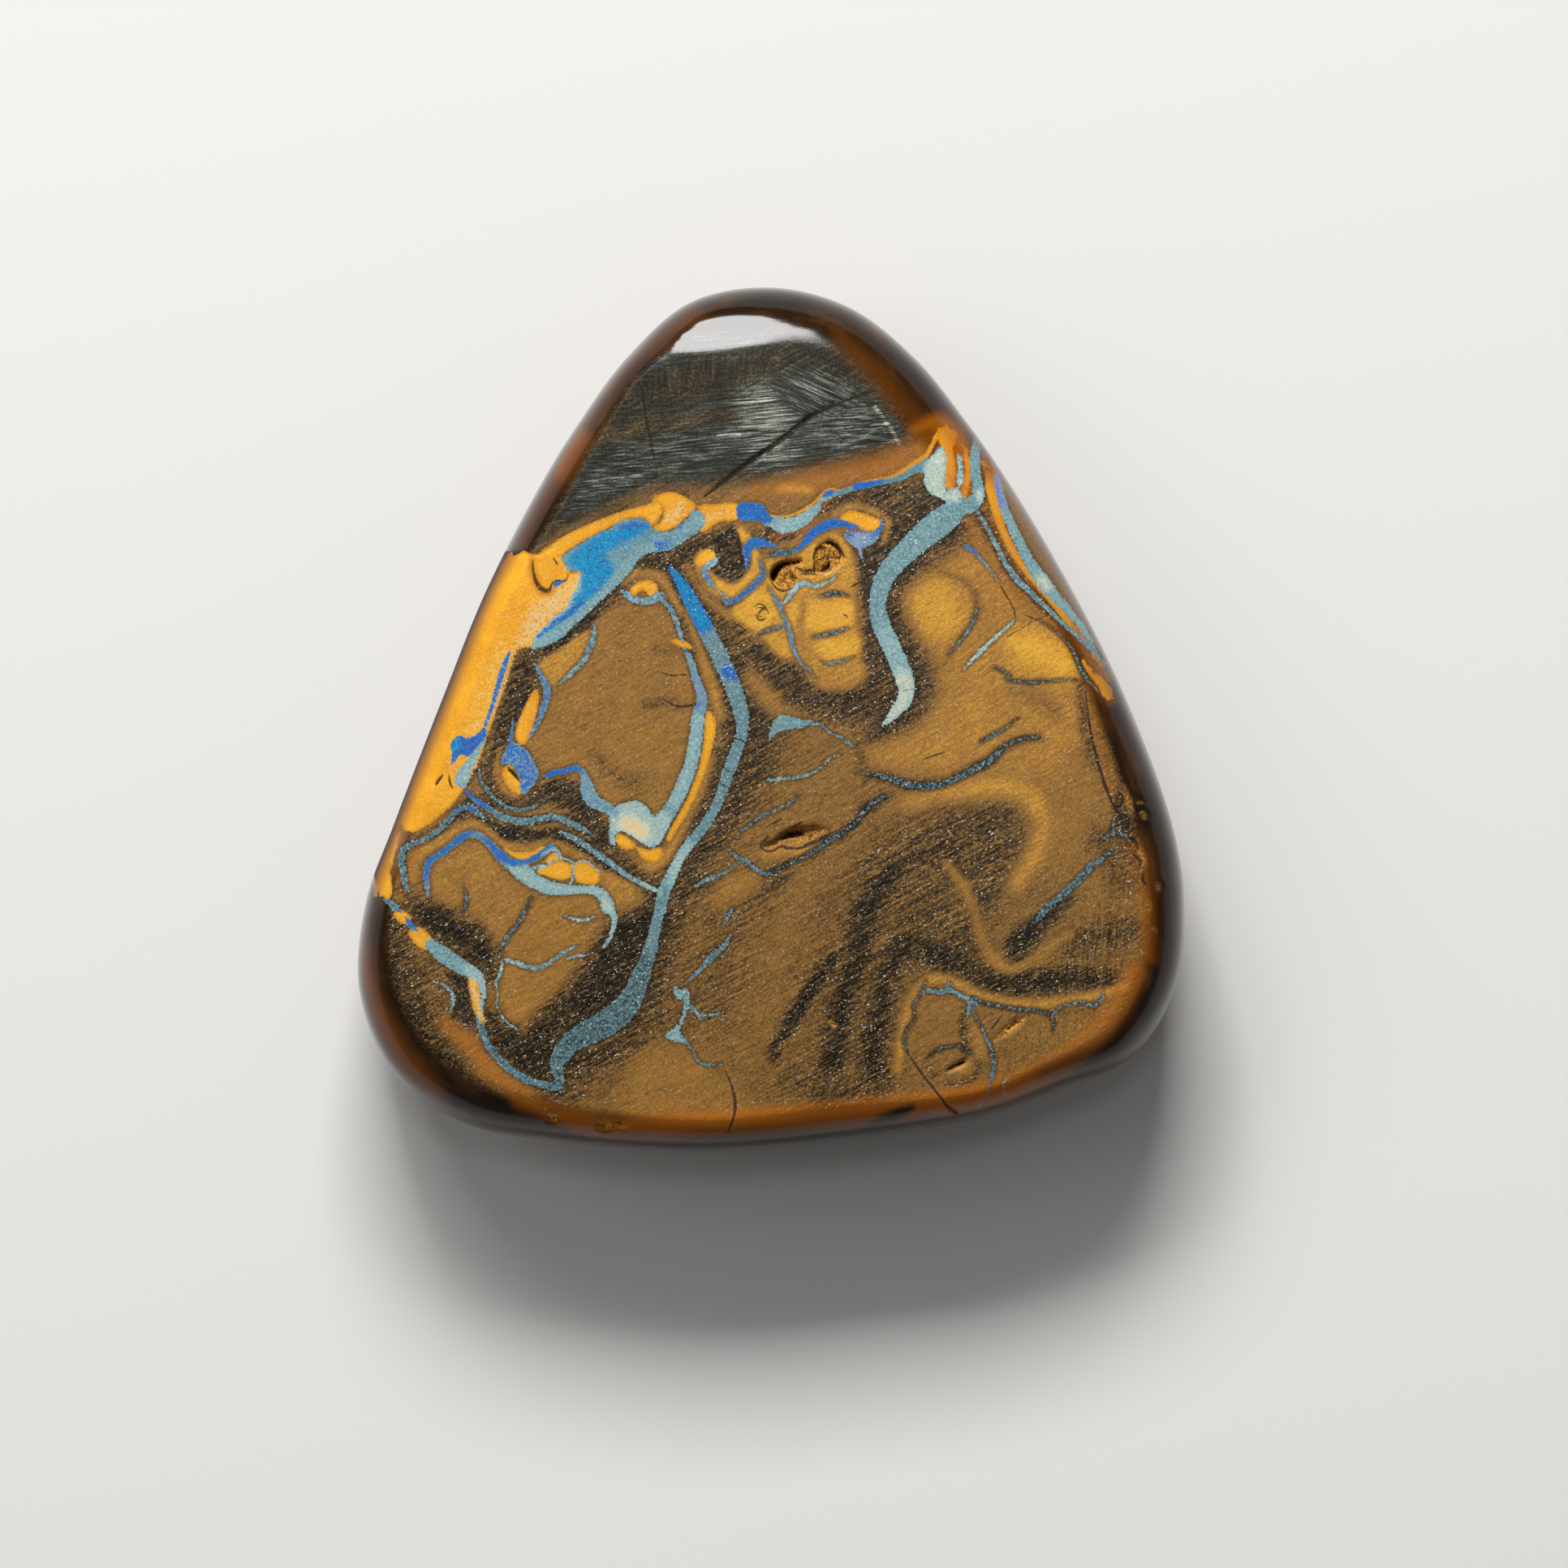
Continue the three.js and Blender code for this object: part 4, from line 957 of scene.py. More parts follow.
# deep amber, mostly where the polished shoulder lets light in
amberMarks = {
    "foot": (1.0, 12, [
        (640, 1356, 12), (700, 1378, 20), (760, 1388, 24), (900, 1382, 28), (1020, 1374, 26),
        (1200, 1352, 28), (1260, 1334, 26), (1316, 1304, 22), (1356, 1268, 20), (1382, 1232, 18),
        (1398, 1200, 18)]),
    "footRight": (0.5, 12, [
        (1290, 1320, 24), (1330, 1294, 24), (1360, 1264, 24), (1384, 1230, 22), (1400, 1198, 20)]),
    "footShadeA": (0.0, 4, [(1070, 1388, 8), (1098, 1376, 15), (1124, 1364, 9)]),
    "footShadeB": (0.25, 8, [(744, 1400, 8), (766, 1404, 12), (790, 1402, 8)]),
    "tipLeft": (0.1, 16, [(690, 590, 20), (760, 462, 26), (806, 412, 24), (850, 385, 16)]),
    "tipRight": (0.18, 16, [(1036, 420, 18), (1070, 452, 24), (1104, 492, 26), (1134, 520, 22)]),
    "rightCrumbs": (0.42, 10, [(1398, 1040, 14), (1408, 1080, 16), (1414, 1130, 14), (1416, 1180, 12)]),
    "rightThread": (0.2, 9, [
        (1212, 640, 10), (1240, 680, 10), (1262, 716, 10), (1300, 750, 10), (1330, 785, 10)]),
    "rightFingers": (0.75, 10, [
        (1126, 530, 10), (1156, 520, 20), (1172, 540, 34), (1180, 575, 38), (1184, 606, 30)]),
    "rightField": (0.22, 18, [(1196, 640, 16), (1240, 712, 30), (1304, 772, 20), (1326, 800, 12)]),
    "warmCap": (0.4, 16, [(930, 606, 10), (1000, 592, 24), (1126, 556, 24), (1150, 536, 14)]),
    "rightStrip": (0.5, 9, [
        (1216, 566, 14), (1226, 606, 18), (1240, 660, 14), (1270, 706, 12), (1310, 752, 12),
        (1340, 800, 16), (1352, 838, 18), (1368, 862, 10)]),
    "rightEdge": (0.3, 8, [(1338, 850, 8), (1362, 950, 8), (1372, 985, 8)]),
    "leftStrip": (0.14, 9, [(640, 670, 14), (665, 625, 16), (690, 585, 16)]),
    "leftGlow": (0.42, 18, [(690, 578, 8), (716, 538, 6)]),
    "leftLayers": (0.35, 5, [
        (492, 1030, 5), (489, 1070, 5), (496, 1102, 5), (520, 1036, 5), (556, 1000, 5)]),
    "hookLobe": (1.0, 5, [(655, 686, 5), (656, 704, 7), (669, 729, 8), (681, 728, 5)]),
    "goldShadeA": (0.2, 8, [(578, 736, 8), (570, 776, 14), (556, 816, 10)]),
    "goldShadeB": (0.18, 8, [(534, 890, 10), (522, 934, 16), (508, 968, 10)]),
    "goldShadeC": (0.16, 8, [(600, 700, 10), (622, 690, 14), (640, 700, 8)]),
    "contactLine": (0.5, 4, [
        (952, 660, 4), (990, 650, 4), (1014, 622, 4), (1040, 600, 4), (1090, 590, 4), (1130, 574, 4)]),
    "leftShoulder": (0.4, 18, [
        (434, 1130, 10), (440, 1180, 16), (456, 1236, 16), (488, 1296, 16), (534, 1346, 12)]),
    "flankFoot": (0.5, 12, [(548, 1262, 8), (575, 1284, 14), (600, 1316, 14), (640, 1348, 14)]),
}

# shoulder that stays as light as the face
bareRim = {
    "upperRight": (0.9, 10, [
        (1222, 566, 16), (1240, 600, 26), (1262, 648, 30), (1318, 738, 30), (1345, 786, 24),
        (1366, 832, 16)]),
    "gold": (1.0, 10, [
        (640, 670, 10), (600, 720, 30), (560, 800, 50), (520, 900, 50), (480, 1000, 60), (470, 1050, 44),
        (468, 1086, 20)]),
}

# cracks and hairlines with crisp edges, each a route
hairlines = {
    "capCrack": [
        (866, 613, 3), (905, 583, 6), (930, 563, 7), (958, 545, 7), (1000, 512, 6), (1016, 505, 4),
        (1040, 494, 3), (1086, 478, 2)],
    "capHair": [(789, 474, 2), (797, 520, 3), (807, 568, 2)],
    "chamberNotch": [(812, 827, 1), (826, 832, 2), (848, 831, 2)],
    "chamberNotchLow": [(816, 861, 1), (834, 870, 3), (859, 868, 3)],
    "riverCrackA": [(904, 910, 2), (912, 911, 2), (921, 918, 2)],
    "riverCrackB": [(892, 945, 1), (899, 951, 2), (903, 950, 1)],
    "riverCrackC": [(886, 963, 1), (892, 968, 2), (897, 970, 1)],
    "cellCrack": [(902, 764, 1), (910, 771, 2), (920, 777, 1)],
    "arcHair": [(1233, 722, 2), (1249, 750, 2), (1251, 760, 2)],
    "fieldHair": [(1276, 764, 1), (1240, 785, 1)],
    "fieldHairHigh": [(1262, 757, 1), (1278, 764, 2)],
    "patchCrackA": [(536, 968, 2), (540, 962, 4), (546, 954, 2)],
    "patchCrackB": [(553, 955, 1), (554, 964, 3), (557, 971, 1)],
    "ringA": [(929, 748, 1), (935, 744, 2), (943, 748, 2), (947, 756, 1)],
    "ringB": [(930, 757, 1), (936, 764, 2), (944, 762, 1)],
    "ringC": [(933, 758, 1), (938, 752, 3), (945, 750, 1)],
    "eggCrack": [(1220, 1270, 2), (1236, 1250, 2)],
    "eggScuff": [(1238, 1270, 1), (1258, 1254, 1)],
    "rightScuff": [(1138, 936, 1), (1150, 931, 2), (1164, 927, 1)],
    "bendCrackA": [(1098, 757, 1), (1110, 753, 2)],
    "bendCrackB": [(1112, 851, 1), (1150, 846, 1)],
    "hookSlit": [(682, 688, 2), (686, 694, 3)],
    "lensLip": [
        (937, 1044, 2), (945, 1049, 3), (953, 1048, 3), (962, 1043, 3), (968, 1045, 3), (976, 1046, 2)],
    "lensFoot": [
        (963, 1040, 2), (970, 1044, 3), (985, 1045, 3), (993, 1042, 5), (1020, 1029, 4), (1027, 1025, 2)],
    "lensEnd": [(936, 1043, 2), (942, 1035, 3), (948, 1030, 2)],
    "lensScuffA": [(943, 1020, 1), (955, 1013, 2), (966, 1008, 1)],
    "lensScuffB": [(970, 1020, 1), (980, 1017, 3), (990, 1012, 1)],
    "vugArc": [(1016, 668, 2), (1024, 669, 4), (1032, 674, 5), (1037, 681, 4), (1041, 686, 2)],
    "vugBar": [(1004, 676, 2), (1011, 674, 4), (1019, 676, 2)],
    "vugSide": [(1012, 671, 1), (1004, 680, 3), (1002, 691, 2)],
    "vugCross": [(1008, 690, 1), (1018, 686, 3), (1030, 687, 2), (1040, 682, 2)],
    "vugFoot": [(1008, 703, 2), (1016, 702, 5), (1021, 697, 4), (1021, 690, 2)],
    "vugDrop": [(1003, 694, 2), (1003, 704, 3)],
    "trenchA": [(982, 699, 1), (990, 703, 2), (1000, 701, 2)],
    "trenchB": [(984, 708, 1), (996, 707, 2), (1008, 709, 1)],
    "vugLip": [(951, 718, 2), (957, 725, 3), (965, 728, 3), (975, 725, 2)],
    "hookHair": [(883, 684, 1), (889, 696, 3), (896, 707, 1)],
    "tongueEdge": [(908, 652, 1), (911, 672, 3), (914, 702, 1)],
    "tearSlit": [(626, 947, 2), (632, 952, 5), (641, 964, 2)],
    "cellTick": [(1038, 757, 1), (1042, 758, 2), (1045, 762, 1)],
    "cellWedge": [(1049, 723, 1), (1054, 720, 3), (1059, 717, 1)],
    "hookLobe": [
        (656, 689, 1), (657, 704, 3), (661, 718, 5), (668, 726, 6), (676, 728, 4), (682, 716, 2),
        (698, 715, 2), (700, 705, 1)],
    "lobeRim": [(893, 1318, 1), (902, 1340, 3), (906, 1360, 4), (903, 1380, 3), (896, 1396, 2)],
    "eggKeel": [(1116, 1292, 1), (1130, 1315, 3), (1158, 1351, 3), (1168, 1364, 3), (1180, 1373, 1)],
    "eggSlit": [(1163, 1320, 1), (1176, 1314, 5), (1190, 1308, 2)],
    "eggBase": [(1163, 1337, 1), (1180, 1336, 2), (1202, 1333, 1)],
    "rightFace": [(1338, 845, 1), (1342, 890, 3), (1362, 968, 4), (1378, 1003, 3)],
    "crumbCrackA": [(1377, 974, 2), (1384, 984, 5), (1380, 995, 2)],
    "crumbCrackB": [(1384, 1003, 2), (1391, 1012, 6), (1389, 1022, 2)],
    "crumbCrackC": [(1390, 1030, 2), (1399, 1037, 6), (1403, 1046, 2)],
    "crumbCrackD": [(1396, 1053, 2), (1405, 1060, 6), (1404, 1069, 2)],
    "crumbCrackE": [(1411, 1074, 2), (1408, 1083, 4), (1413, 1091, 2)],
}

# hollows that are really sunk: depth in mm, width of the wall in pixels, share of crumbly ochre, mark
hollows = {
    "lens": (0.22, 8, 0.4, [
        (935, 1044), (943, 1036), (952, 1034), (962, 1029), (972, 1022), (985, 1016), (1000, 1014),
        (1015, 1017), (1028, 1022), (1024, 1028), (1012, 1033), (1004, 1039), (992, 1043), (980, 1045),
        (965, 1043), (955, 1047), (945, 1049)]),
    "lensTrench": (0.3, 5, 0, [
        (940, 1041, 3), (950, 1038, 5), (960, 1033, 8), (970, 1028, 11), (979, 1027, 13), (987, 1027, 9),
        (992, 1026, 3)]),
    "deepVug": (0.2, 6, 1, [
        (948, 716), (947, 706), (952, 697), (960, 691), (972, 688), (989, 690), (984, 697), (976, 702),
        (984, 712), (983, 720), (976, 727), (964, 728), (955, 722)]),
    "vugShade": (0.5, 5, 0, [
        (947, 714), (949, 704), (955, 696), (964, 691), (976, 689), (990, 691), (980, 696), (968, 699),
        (961, 705), (957, 713), (954, 722)]),
    "crumblyVug": (0.12, 5, 1, [
        (1001, 690), (1004, 676), (1016, 667), (1030, 669), (1041, 684), (1036, 696), (1022, 706),
        (1006, 706)]),
    "vugTrench": (0.08, 4, 1, [(980, 702, 8), (992, 704, 12), (1006, 704, 10)]),
    "vugFoot": (0.25, 3, 0, [(1008, 703, 3), (1016, 701, 7), (1021, 696, 5), (1021, 690, 2)]),
    "vugArc": (0.25, 3, 0, [(1016, 668, 3), (1024, 669, 5), (1033, 675, 6), (1041, 686, 3)]),
    "ring": (0.07, 2.5, 0, [
        (929, 750, 3), (936, 744, 4), (945, 749, 4), (947, 758, 4), (938, 765, 4), (930, 760, 3)]),
    "tearSlit": (0.2, 4, 1, [(626, 946, 4), (632, 952, 8), (640, 963, 5)]),
    "notch": (0.2, 9, 0, [
        (549, 1198), (574, 1206), (578, 1226), (582, 1248), (588, 1262), (582, 1267), (570, 1264),
        (560, 1254), (557, 1240), (560, 1225), (553, 1212)]),
    "footSlit": (0.3, 4, 0, [(1160, 1322, 3), (1172, 1316, 8), (1184, 1310, 9), (1196, 1305, 4)]),
    "lowerChip": (0.25, 6, 1, [(728, 1382, 6), (748, 1386, 12), (774, 1383, 6)]),
    "lowerChipTwo": (0.12, 5, 1, [(668, 1368, 5), (680, 1378, 8), (694, 1374, 6)]),
    "crumbsHigh": (0.16, 6, 0.5, [(1382, 968, 8), (1390, 985, 14), (1398, 1004, 10)]),
    "crumbsLow": (0.18, 6, 0.5, [(1398, 1035, 10), (1404, 1052, 14), (1408, 1070, 8)]),
    "rimPitA": (0.08, 4, 0.5, [(1409, 1000, 5), (1412, 1008, 6)]),
    "rimPitB": (0.08, 4, 0.6, [(1420, 1034, 7), (1423, 1042, 6)]),
    "rimPitC": (0.1, 5, 0.6, [(1412, 1104, 6), (1415, 1114, 9), (1415, 1122, 6)]),
    "rimPitD": (0.08, 4, 0.6, [(1428, 1086, 6), (1430, 1096, 7)]),
    "rimPitE": (0.08, 4, 0.6, [(1402, 984, 5), (1405, 990, 6)]),
    "rimPitF": (0.08, 4, 0.6, [(1418, 1064, 6), (1421, 1070, 5)]),
    "rimPitG": (0.07, 4, 0.6, [(1424, 1140, 6), (1422, 1148, 5)]),
    "rimPitH": (0.07, 4, 0.6, [(1406, 1168, 5), (1409, 1176, 6)]),
    "rimPitI": (0.07, 4, 0.6, [(1384, 1104, 5), (1390, 1110, 6)]),
    "pitA": (0.1, 4, 1, [(1022, 1258, 8), (1028, 1264, 8)]),
    "pitB": (0.16, 5, 0.9, [(1226, 1282, 4), (1238, 1272, 9), (1250, 1262, 12), (1263, 1255, 6)]),
    "patchPit": (0.12, 4, 1, [(537, 966, 5), (543, 957, 6)]),
    "ledge": (0.08, 3, 0, [(636, 684, 3), (652, 683, 5), (668, 681, 4), (684, 673, 3)]),
    "capCrack": (0.13, 3, 0, [
        (866, 613, 3), (905, 583, 6), (958, 545, 7), (1000, 512, 6), (1040, 494, 4), (1086, 478, 2)]),
}


# how the hollows' walls and floors wander
hollowLook = {
    "wallWander": 1.2,     # pixels
    "wallLump": 5,         # pixels
    "wallSeed": 20,
    "floorWander": 0.22,   # share of the depth
    "floorLump": 4,        # pixels
    "floorSeed": 40,
    # the hollows' painted shade grows with depth up to darkDepth
    "darkDepth": 0.5,      # mm at which a hollow is as dark as it gets
}


# fixed unevenness from a few crossing waves, about -1 to 1
def lumps(spots, size, seed, waves=7):
    draw = np.random.RandomState(seed)
    total = np.zeros(len(spots))
    for wave in range(waves):
        turn, phase = draw.uniform(0, 2 * math.pi), draw.uniform(0, 2 * math.pi)
        stretch = draw.uniform(0.7, 1.6)
        along = spots[:, 0] * math.cos(turn) + spots[:, 1] * math.sin(turn)
        total += np.sin(along * stretch / size + phase)
    return total / 4


# sinks the hollows and returns how crumbly and how deep each point got, 0 to 1
def sinkHollows(vertices, spots, fall):
    look = hollowLook
    crumbly, deep = np.zeros(len(vertices)), np.zeros(len(vertices))
    for number, (depth, wall, crumb, mark) in enumerate(hollows.values()):
        near, inside = reachOf(spots, mark, wall)
        wander = lumps(spots[near], look["wallLump"], number + look["wallSeed"])
        floor = 1 + look["floorWander"] * lumps(spots[near], look["floorLump"], number + look["floorSeed"])
        share = smoothStep((inside + look["wallWander"] * wander) / wall) * (fall[near] < 1)
        drop = depth * share * floor
        vertices[near, 2] -= drop
        crumbly[near] = np.maximum(crumbly[near], crumb * share)
        deep[near] += drop / look["darkDepth"]
    return crumbly, np.clip(deep, 0, 1)


# all markings as one value a point for each field that the finish reads
def markStone(spots, fall):
    count = len(spots)
    washes = {
        "cap": capWashes, "paintedSheen": paintedSheenSpots, "slant": slantSpots, "upright": uprightSpots,
        "vivid": vividSpots, "cyan": cyanSpots, "pale": paleSpots, "amber": amberMarks, "bare": bareRim,
    }
    fields = {name: np.zeros(count) for name in ("tone", *washes)}
    for name in ("gold", "vein", "hair"):
        fields[name] = np.full(count, inkLook["farDepth"])
        fields[name + "Side"] = np.full(count, inkLook["farSide"])
        fields[name + "Half"] = np.full(count, inkLook["farDepth"])

    for tone, soft, mark in groundWashes.values():
        addWash(fields["tone"], spots, mark, tone, soft)
    halos = [(halo, mark) for pale, vivid, halo, mark in opalVeins.values() if halo]
    for (tone, extra), mark in halos:
        wide = [(x, y, width + extra) for x, y, width in mark]
        addWash(fields["tone"], spots, wide, tone, extra * inkLook["haloSoftness"])
    for tone, soft, mark in detailWashes.values():
        addWash(fields["tone"], spots, mark, tone, soft)

    for pale, vivid, halo, mark in opalVeins.values():
        addInk(fields, "vein", spots, mark)
        addWash(fields["pale"], spots, mark, pale, inkLook["tintSoftness"])
        addWash(fields["vivid"], spots, mark, vivid, inkLook["tintSoftness"])
    for name, marks in washes.items():
        for value, soft, mark in marks.values():
            addWash(fields[name], spots, mark, value, soft)
    for name, marks in (("gold", goldMarks), ("hair", hairlines)):
        for mark in marks.values():
            addInk(fields, name, spots, mark)
    fields["fall"] = fall
    print("markings:", len(opalVeins), "veins,", len(goldMarks), "golden,", len(hairlines), "hairlines")
    return fields


# small helpers for node trees
def addNode(tree, kind, settings=None, inputs=None):
    node = tree.nodes.new(kind)
    for name, value in (settings or {}).items():
        setattr(node, name, value)
    for name, value in (inputs or {}).items():
        if isinstance(value, bpy.types.NodeSocket):
            tree.links.new(value, node.inputs[name])
        else:
            node.inputs[name].default_value = value
    return node


def calc(tree, operation, a, b=0.0, c=0.0):
    return addNode(tree, "ShaderNodeMath", {"operation": operation}, {0: a, 1: b, 2: c}).outputs[0]


def times(tree, a, b):
    return calc(tree, "MULTIPLY", a, b)


# a start value and more values, each taken with its own weight
def weigh(tree, start, *terms):
    for value, weight in terms:
        start = calc(tree, "MULTIPLY_ADD", value, weight, start)
    return start


# pores of the lapped face, repeated over the surface
poreLook = {
    "Pore Spacing": 0.62 * mm,
    "Pore Depth": 0.035 * mm,
    "Pore Share": 0.16,    # of the spaces, the others stay whole
    "Pore Core": 0.08,     # flat bottom, as a share of the spacing
    "Pore Edge": 0.3,      # where its wall ends, likewise
    "Pore Seed": 7.0,
    "Face Limit": 0.2,     # how far down the shoulder pores go
}


def poreTree():
    tree = bpy.data.node_groups.new("lappedPores", "GeometryNodeTree")
    tree.interface.new_socket("Geometry", in_out="INPUT", socket_type="NodeSocketGeometry")
    for name in poreLook:
        tree.interface.new_socket(name, in_out="INPUT", socket_type="NodeSocketFloat")
    tree.interface.new_socket("Finish", in_out="INPUT", socket_type="NodeSocketMaterial")
    tree.interface.new_socket("Geometry", in_out="OUTPUT", socket_type="NodeSocketGeometry")
    given = addNode(tree, "NodeGroupInput").outputs
    place = addNode(tree, "GeometryNodeInputPosition").outputs[0]
    normal = addNode(tree, "GeometryNodeInputNormal").outputs[0]
    named = addNode(tree, "GeometryNodeInputNamedAttribute", {"data_type": "FLOAT"}, {"Name": "fall"})
    density = calc(tree, "DIVIDE", 1.0, given["Pore Spacing"])
    cells = addNode(tree, "ShaderNodeTexVoronoi", {"voronoi_dimensions": "4D"}, {
        "Vector": place, "W": given["Pore Seed"], "Scale": density,
    })
    bowl = addNode(tree, "ShaderNodeMapRange", {"interpolation_type": "SMOOTHSTEP"}, {
        "Value": cells.outputs["Distance"], "From Min": given["Pore Core"], "From Max": given["Pore Edge"],
        "To Min": 1.0, "To Max": 0.0,
    })
    chance = addNode(tree, "FunctionNodeSeparateColor", None, {"Color": cells.outputs["Color"]}).outputs[0]
    chosen = calc(tree, "LESS_THAN", chance, given["Pore Share"])
    onFace = calc(tree, "LESS_THAN", named.outputs[0], given["Face Limit"])
    depth = times(tree, times(tree, times(tree, bowl.outputs[0], chosen), onFace), given["Pore Depth"])
    offset = addNode(tree, "ShaderNodeVectorMath", {"operation": "SCALE"}, {
        0: normal, "Scale": times(tree, depth, -1.0),
    })
    moved = addNode(tree, "GeometryNodeSetPosition", None, {
        "Geometry": given["Geometry"], "Offset": offset.outputs[0],
    })
    real = addNode(tree, "GeometryNodeRealizeInstances", None, {"Geometry": moved.outputs[0]})
    coated = addNode(tree, "GeometryNodeSetMaterial", None, {
        "Geometry": real.outputs[0], "Material": given["Finish"],
    })
    addNode(tree, "NodeGroupOutput", None, {0: coated.outputs[0]})
    return tree


def setInputs(modifier, tree, values):
    for item in tree.interface.items_tree:
        if item.item_type == "SOCKET" and item.in_out == "INPUT" and item.name in values:
            modifier[item.identifier] = values[item.name]


opalLook = {
    # colours as they look on the stone, 0 to 255; a list gives them along a value
    "ironstone": [
        (-1.2, (15, 10, 4)), (-0.8, (40, 30, 14)), (-0.4, (77, 57, 29)), (0.0, (122, 87, 40)),
        (0.4, (150, 106, 45)), (0.8, (188, 136, 45)), (1.2, (212, 159, 50))],
    # the cap: dark grey, its upper end the painted highlights of its scratches
    "cap": [
        (0.0, (11, 11, 8)), (0.3, (28, 29, 22)), (0.5, (55, 58, 50)), (0.75, (122, 126, 116)),
        (1.0, (190, 192, 182))],
    "goldDeep": (196, 128, 4),
    "goldBright": (224, 160, 28),
    "goldEdge": (112, 64, 12),
    "goldCream": (205, 172, 112),
    # paleness of the opal, slate to cream
    "opal": [
        (-1.0, (26, 32, 36)), (0.0, (92, 122, 128)), (0.35, (118, 154, 158)), (0.65, (148, 170, 164)),
        (1.0, (188, 188, 164)), (1.4, (208, 182, 130))],
    # the opal's play of colour, lilac to cyan
    "blue": [
        (-1.0, (134, 138, 178)), (-0.4, (56, 92, 172)), (0.0, (26, 88, 164)), (0.5, (22, 114, 170)),
        (1.0, (18, 134, 176))],
    "blueDeep": (18, 40, 92),
    "amber": (168, 92, 2),
    "rim": [(0.3, (20, 10, 2)), (0.5, (34, 18, 4)), (0.7, (66, 37, 10))],
    "hair": (32, 22, 10),
    "crumb": [(0.0, (58, 34, 10)), (0.35, (128, 82, 26)), (0.65, (182, 124, 38)), (1.0, (214, 158, 60))],
    # painted shade deep in the hollows
    "pitShade": (44, 26, 8),
    "back": [(0.2, (58, 38, 18)), (0.5, (98, 66, 32)), (0.8, (132, 92, 46))],
    "fleck": (138, 112, 72),
    # painted glints: the white of light caught by the grinding marks
    "paintedGlint": (226, 222, 208),
    # noises: size, detail, roughness
    "grain": (0.085 * mm, 1.0, 0.6),
    "mottle": (0.11 * mm, 1.0, 0.5),
    "ragged": (0.16 * mm, 3.0, 0.7),
    "cloud": (1.3 * mm, 4.0, 0.6),
    "layers": (2.2 * mm, 5.0, 0.62),
    # grinding marks: degrees, rising to the right, width and length in widths
    "faceMarks": (28, 0.09 * mm, 24),
    "uprightMarks": (87, 0.09 * mm, 20),
    "capMarks": (5, 0.055 * mm, 22),
    "capFacetMarks": (-24, 0.055 * mm, 22),
    "flecks": (32, 0.075 * mm, 4),
    "paintedGlints": (28, 0.05 * mm, 1.7),
    "scratchDepth": 0.011 * mm,
    "layerFlatness": 3,
    # how far the edges of gold and opal wander, in pixels
    "raggedPixels": 4.4,
    "grainPixels": 5.0,
    "sideWander": 90.0,
    "faceRoughness": (0.26, 0.42),
    "shoulderRoughness": 0.14,
    "facetRoughness": 0.12,
    "goldRoughness": 0.6,
    "hollowRoughness": 0.85,
    "specularLevel": 0.26,
}


# a colour from 0 to 255 as the shader takes it
def tint(red, green, blue):
    shares = [value / 255 for value in (red, green, blue)]
    linear = [((v + 0.055) / 1.055) ** 2.4 if v > 0.04045 else v / 12.92 for v in shares]
    return (*linear, 1.0)


def ramp(tree, value, stops):
    low, high = stops[0][0], stops[-1][0]
    share = addNode(tree, "ShaderNodeMapRange", None, {"Value": value, "From Min": low, "From Max": high})
    node = addNode(tree, "ShaderNodeValToRGB", None, {"Fac": share.outputs[0]})
    band = node.color_ramp
    while len(band.elements) < len(stops):
        band.elements.new(1.0)
    for element, (place, color) in zip(band.elements, stops):
        element.position = (place - low) / (high - low)
        element.color = tint(*color)
    return node.outputs["Color"]


def blend(tree, share, low, high):
    return addNode(tree, "ShaderNodeMix", {"data_type": "RGBA"}, {0: share, 6: low, 7: high}).outputs[2]


# lays one of the look's colours over what is there
def paint(tree, share, color, name):
    return blend(tree, share, color, tint(*opalLook[name]))


def mixValue(tree, share, low, high):
    return addNode(tree, "ShaderNodeMix", {"data_type": "FLOAT"}, {0: share, 2: low, 3: high}).outputs[0]


# 0 up to the first limit and 1 from the second, which may also be the lower one
def smoothRange(tree, value, first, second):
    return addNode(tree, "ShaderNodeMapRange", {"interpolation_type": "SMOOTHSTEP"}, {
        "Value": value, "From Min": first, "From Max": second,
    }).outputs[0]


def readField(tree, name):
    return addNode(tree, "ShaderNodeAttribute", {"attribute_name": name}).outputs["Fac"]


# pixels inside an ink, negative outside it
def inkDepth(tree, name):
    away = calc(tree, "ABSOLUTE", readField(tree, name + "Side"))
    thin = calc(tree, "SUBTRACT", readField(tree, name + "Half"), away)
    return calc(tree, "MAXIMUM", readField(tree, name), thin)


def grainNoise(tree, where, size, detail, rough):
    return addNode(tree, "ShaderNodeTexNoise", None, {
        "Vector": where, "Scale": 1 / size, "Detail": detail, "Roughness": rough,
    }).outputs["Fac"]


# long fine marks: noise squeezed across one direction
def grindMarks(tree, where, angle, size, length, detail=3.0, rough=0.6):
    turned = addNode(tree, "ShaderNodeMapping", {"vector_type": "TEXTURE"}, {
        "Vector": where, "Rotation": (0, 0, math.radians(angle)), "Scale": (length, 1, 1),
    })
    return grainNoise(tree, turned.outputs[0], size, detail, rough)


# from 0 to 1 made -0.5 to 0.5
def centred(tree, value):
    return calc(tree, "SUBTRACT", value, 0.5)


